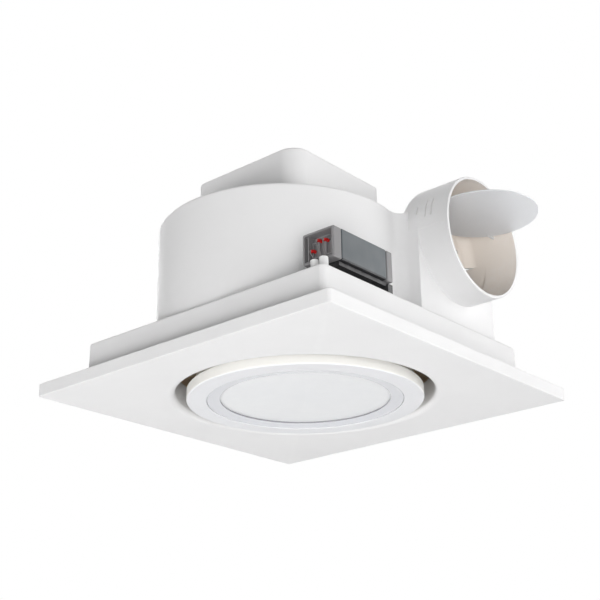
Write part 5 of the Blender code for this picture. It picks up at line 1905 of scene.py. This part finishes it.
@dataclass
class CarriedNodes(Assembly):
    """The inner solids whose shape is right, which keep it and get their finishes."""

    def build(self) -> None:
        """Gives each carried node its material."""
        rows = {
            Finish.IVORY: ("impeller", "impeller_blades", "supply_terminal"),
            Finish.BLACK: ("driver_cradle",),
            Finish.BOARD: ("led_board", "driver_board"),
            Finish.STEEL: ("impeller_nut", "motor_shaft", "bearing_lower", "bearing_upper"),
            Finish.ZINC: ("lamp_spider", "motor_plate", "end_shield_lower", "end_shield_upper"),
            Finish.COPPER: ("stator_winding_lower", "stator_winding_upper"),
            Finish.STACK: ("rotor_core", "stator_core"),
        }
        for finish, names in rows.items():
            for name in names:
                self.palette.paint(name, finish)


# Studio


@dataclass(frozen=True)
class Softbox:
    """A flat square lamp aimed at the fan."""

    name: str
    place: tuple
    size: float
    power: float
    aim: tuple = (0.0, 0.0, 0.06)

    def build(self) -> None:
        """Makes the lamp."""
        light = bpy.data.lights.new(self.name, "AREA")
        light.size, light.energy = self.size, self.power
        lamp = bpy.data.objects.new(self.name, light)
        lamp.location = self.place
        lamp.rotation_euler = (Vector(self.aim) - Vector(self.place)).to_track_quat("-Z", "Y").to_euler()
        lamp.visible_camera = False
        bpy.context.scene.collection.objects.link(lamp)


def seen_rays(sheet: Sheet) -> bpy.types.NodeSocket:
    """A mask of the rays that see a background: straight from the camera, by gloss or through clear pieces.

    Args:
        sheet: The material's or the world's sheet.

    Returns:
        The mask, 0 or 1.
    """
    path = sheet.add("ShaderNodeLightPath").outputs
    seen = sheet.math("MAXIMUM", path["Is Camera Ray"], path["Is Transmission Ray"])
    return sheet.math("MAXIMUM", seen, path["Is Glossy Ray"])


@dataclass
class Studio:
    """Pale floor, soft lamps, white surroundings and the camera."""

    floor_height: float = -0.97
    floor_half: float = 6.0
    floor_glow: float = 0.82
    floor_colours: tuple = ((0.90, 0.90, 0.90), (0.88, 0.88, 0.88))
    floor_seen: tuple = (0.16, 0.16, 0.16)
    lens: float = 76.157
    eye: tuple = (-0.74182, -0.63253, -0.31161)
    turn: tuple = (1.11000742, -0.520562399, 0.740963988)
    boxes: tuple = (
        Softbox("near_low_box", (-1.5, -1.3, -0.62), 0.8, 14.8),
        Softbox("near_low_right_box", (-1.2, -1.6, -0.80), 0.8, 6.5),
        Softbox("near_low_left_box", (-1.35, -0.6, -0.90), 0.5, 4.4),
        Softbox("low_left_box", (-1.4, 0.5, -0.90), 0.5, 5.0),
        Softbox("low_far_left_box", (-1.0, 0.5, -0.90), 0.8, 6.1),
        Softbox("low_right_box", (1.0, -1.2, -0.90), 1.0, 4.1),
        Softbox("near_right_box", (0.4, -2.2, 0.0), 1.2, 12.1),
        Softbox("right_box", (1.6, -1.9, 0.5), 1.6, 18.7),
        Softbox("top_box", (0.0, 0.2, 2.4), 2.0, 15.0),
        Softbox("top_left_box", (-1.6, 0.0, 1.8), 1.6, 3.0),
        Softbox("top_right_box", (1.2, -0.8, 2.0), 1.6, 4.0),
        Softbox("back_box", (1.2, 1.9, 1.3), 1.6, 34.0),
    )

    def floor_surface(self, sheet: Sheet) -> dict:
        """Lays the floor's surface: pale to the light, and close to white where it is seen.

        Args:
            sheet: The material's sheet.

        Returns:
            The shader's inputs.
        """
        tone = sheet.spread(sheet.noise(sheet.where, 3.0, 3.0), 0.3, 0.7)
        seen = seen_rays(sheet)
        return {
            "Roughness": 0.8,
            "Base Color": sheet.blend(seen, sheet.blend(tone, *self.floor_colours), self.floor_seen),
            "Emission Color": (1, 1, 1, 1),
            "Emission Strength": sheet.times(seen, self.floor_glow),
        }

    def floor(self) -> None:
        """Makes a pale floor well below the fan."""
        corners = [(x * self.floor_half, y * self.floor_half, self.floor_height) for x, y in FOUR_WAYS]
        mesh = bpy.data.meshes.new("pale_floor")
        mesh.from_pydata(corners, [], [(0, 2, 3, 1)])
        mesh.materials.append(new_material("pale_floor", self.floor_surface))
        floor = bpy.data.objects.new("pale_floor", mesh)
        bpy.context.scene.collection.objects.link(floor)

    def world(self) -> None:
        """White where the camera, gloss and clear pieces look, with no light of its own on the fan."""
        world = bpy.data.worlds.new("white_surround")
        world.use_nodes = True
        world.node_tree.nodes.clear()
        sheet = Sheet(world.node_tree)
        background = sheet.add("ShaderNodeBackground", {"Color": (1, 1, 1, 1), "Strength": seen_rays(sheet)})
        sheet.add("ShaderNodeOutputWorld", {"Surface": background.outputs[0]})
        bpy.context.scene.world = world

    def camera(self) -> None:
        """The photograph's own viewpoint: below the fan, looking up at its near corner."""
        turn = Vector(self.turn)
        right, down, ahead = Matrix.Rotation(turn.length, 3, turn.normalized())
        axes = Matrix((right, -down, -ahead)).transposed()
        data = bpy.data.cameras.new("view_from_below")
        data.lens, data.sensor_width = self.lens, 36.0
        data.clip_start, data.clip_end = 0.01, 40.0
        camera = bpy.data.objects.new("view_from_below", data)
        camera.matrix_world = Matrix.Translation(self.eye) @ axes.to_4x4()
        bpy.context.scene.collection.objects.link(camera)
        bpy.context.scene.camera = camera

    def build(self) -> None:
        """Sets the floor, the world, the camera and the lamps."""
        bpy.context.scene.view_settings.view_transform = "Standard"
        self.floor()
        self.world()
        self.camera()
        for box in self.boxes:
            box.build()


def main() -> None:
    logging.basicConfig(level=logging.INFO, format="%(name)s: %(message)s")
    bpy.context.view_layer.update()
    palette = Palette()
    for assembly in (
        Fascia, MountingFrame, Housing, MotorCover, BackdraftFlap, Lamp,
        InletBell, Driver, Leads, Screws, CarriedNodes,
    ):
        assembly(palette).build()
    Studio().build()


if __name__ == "__main__":
    main()
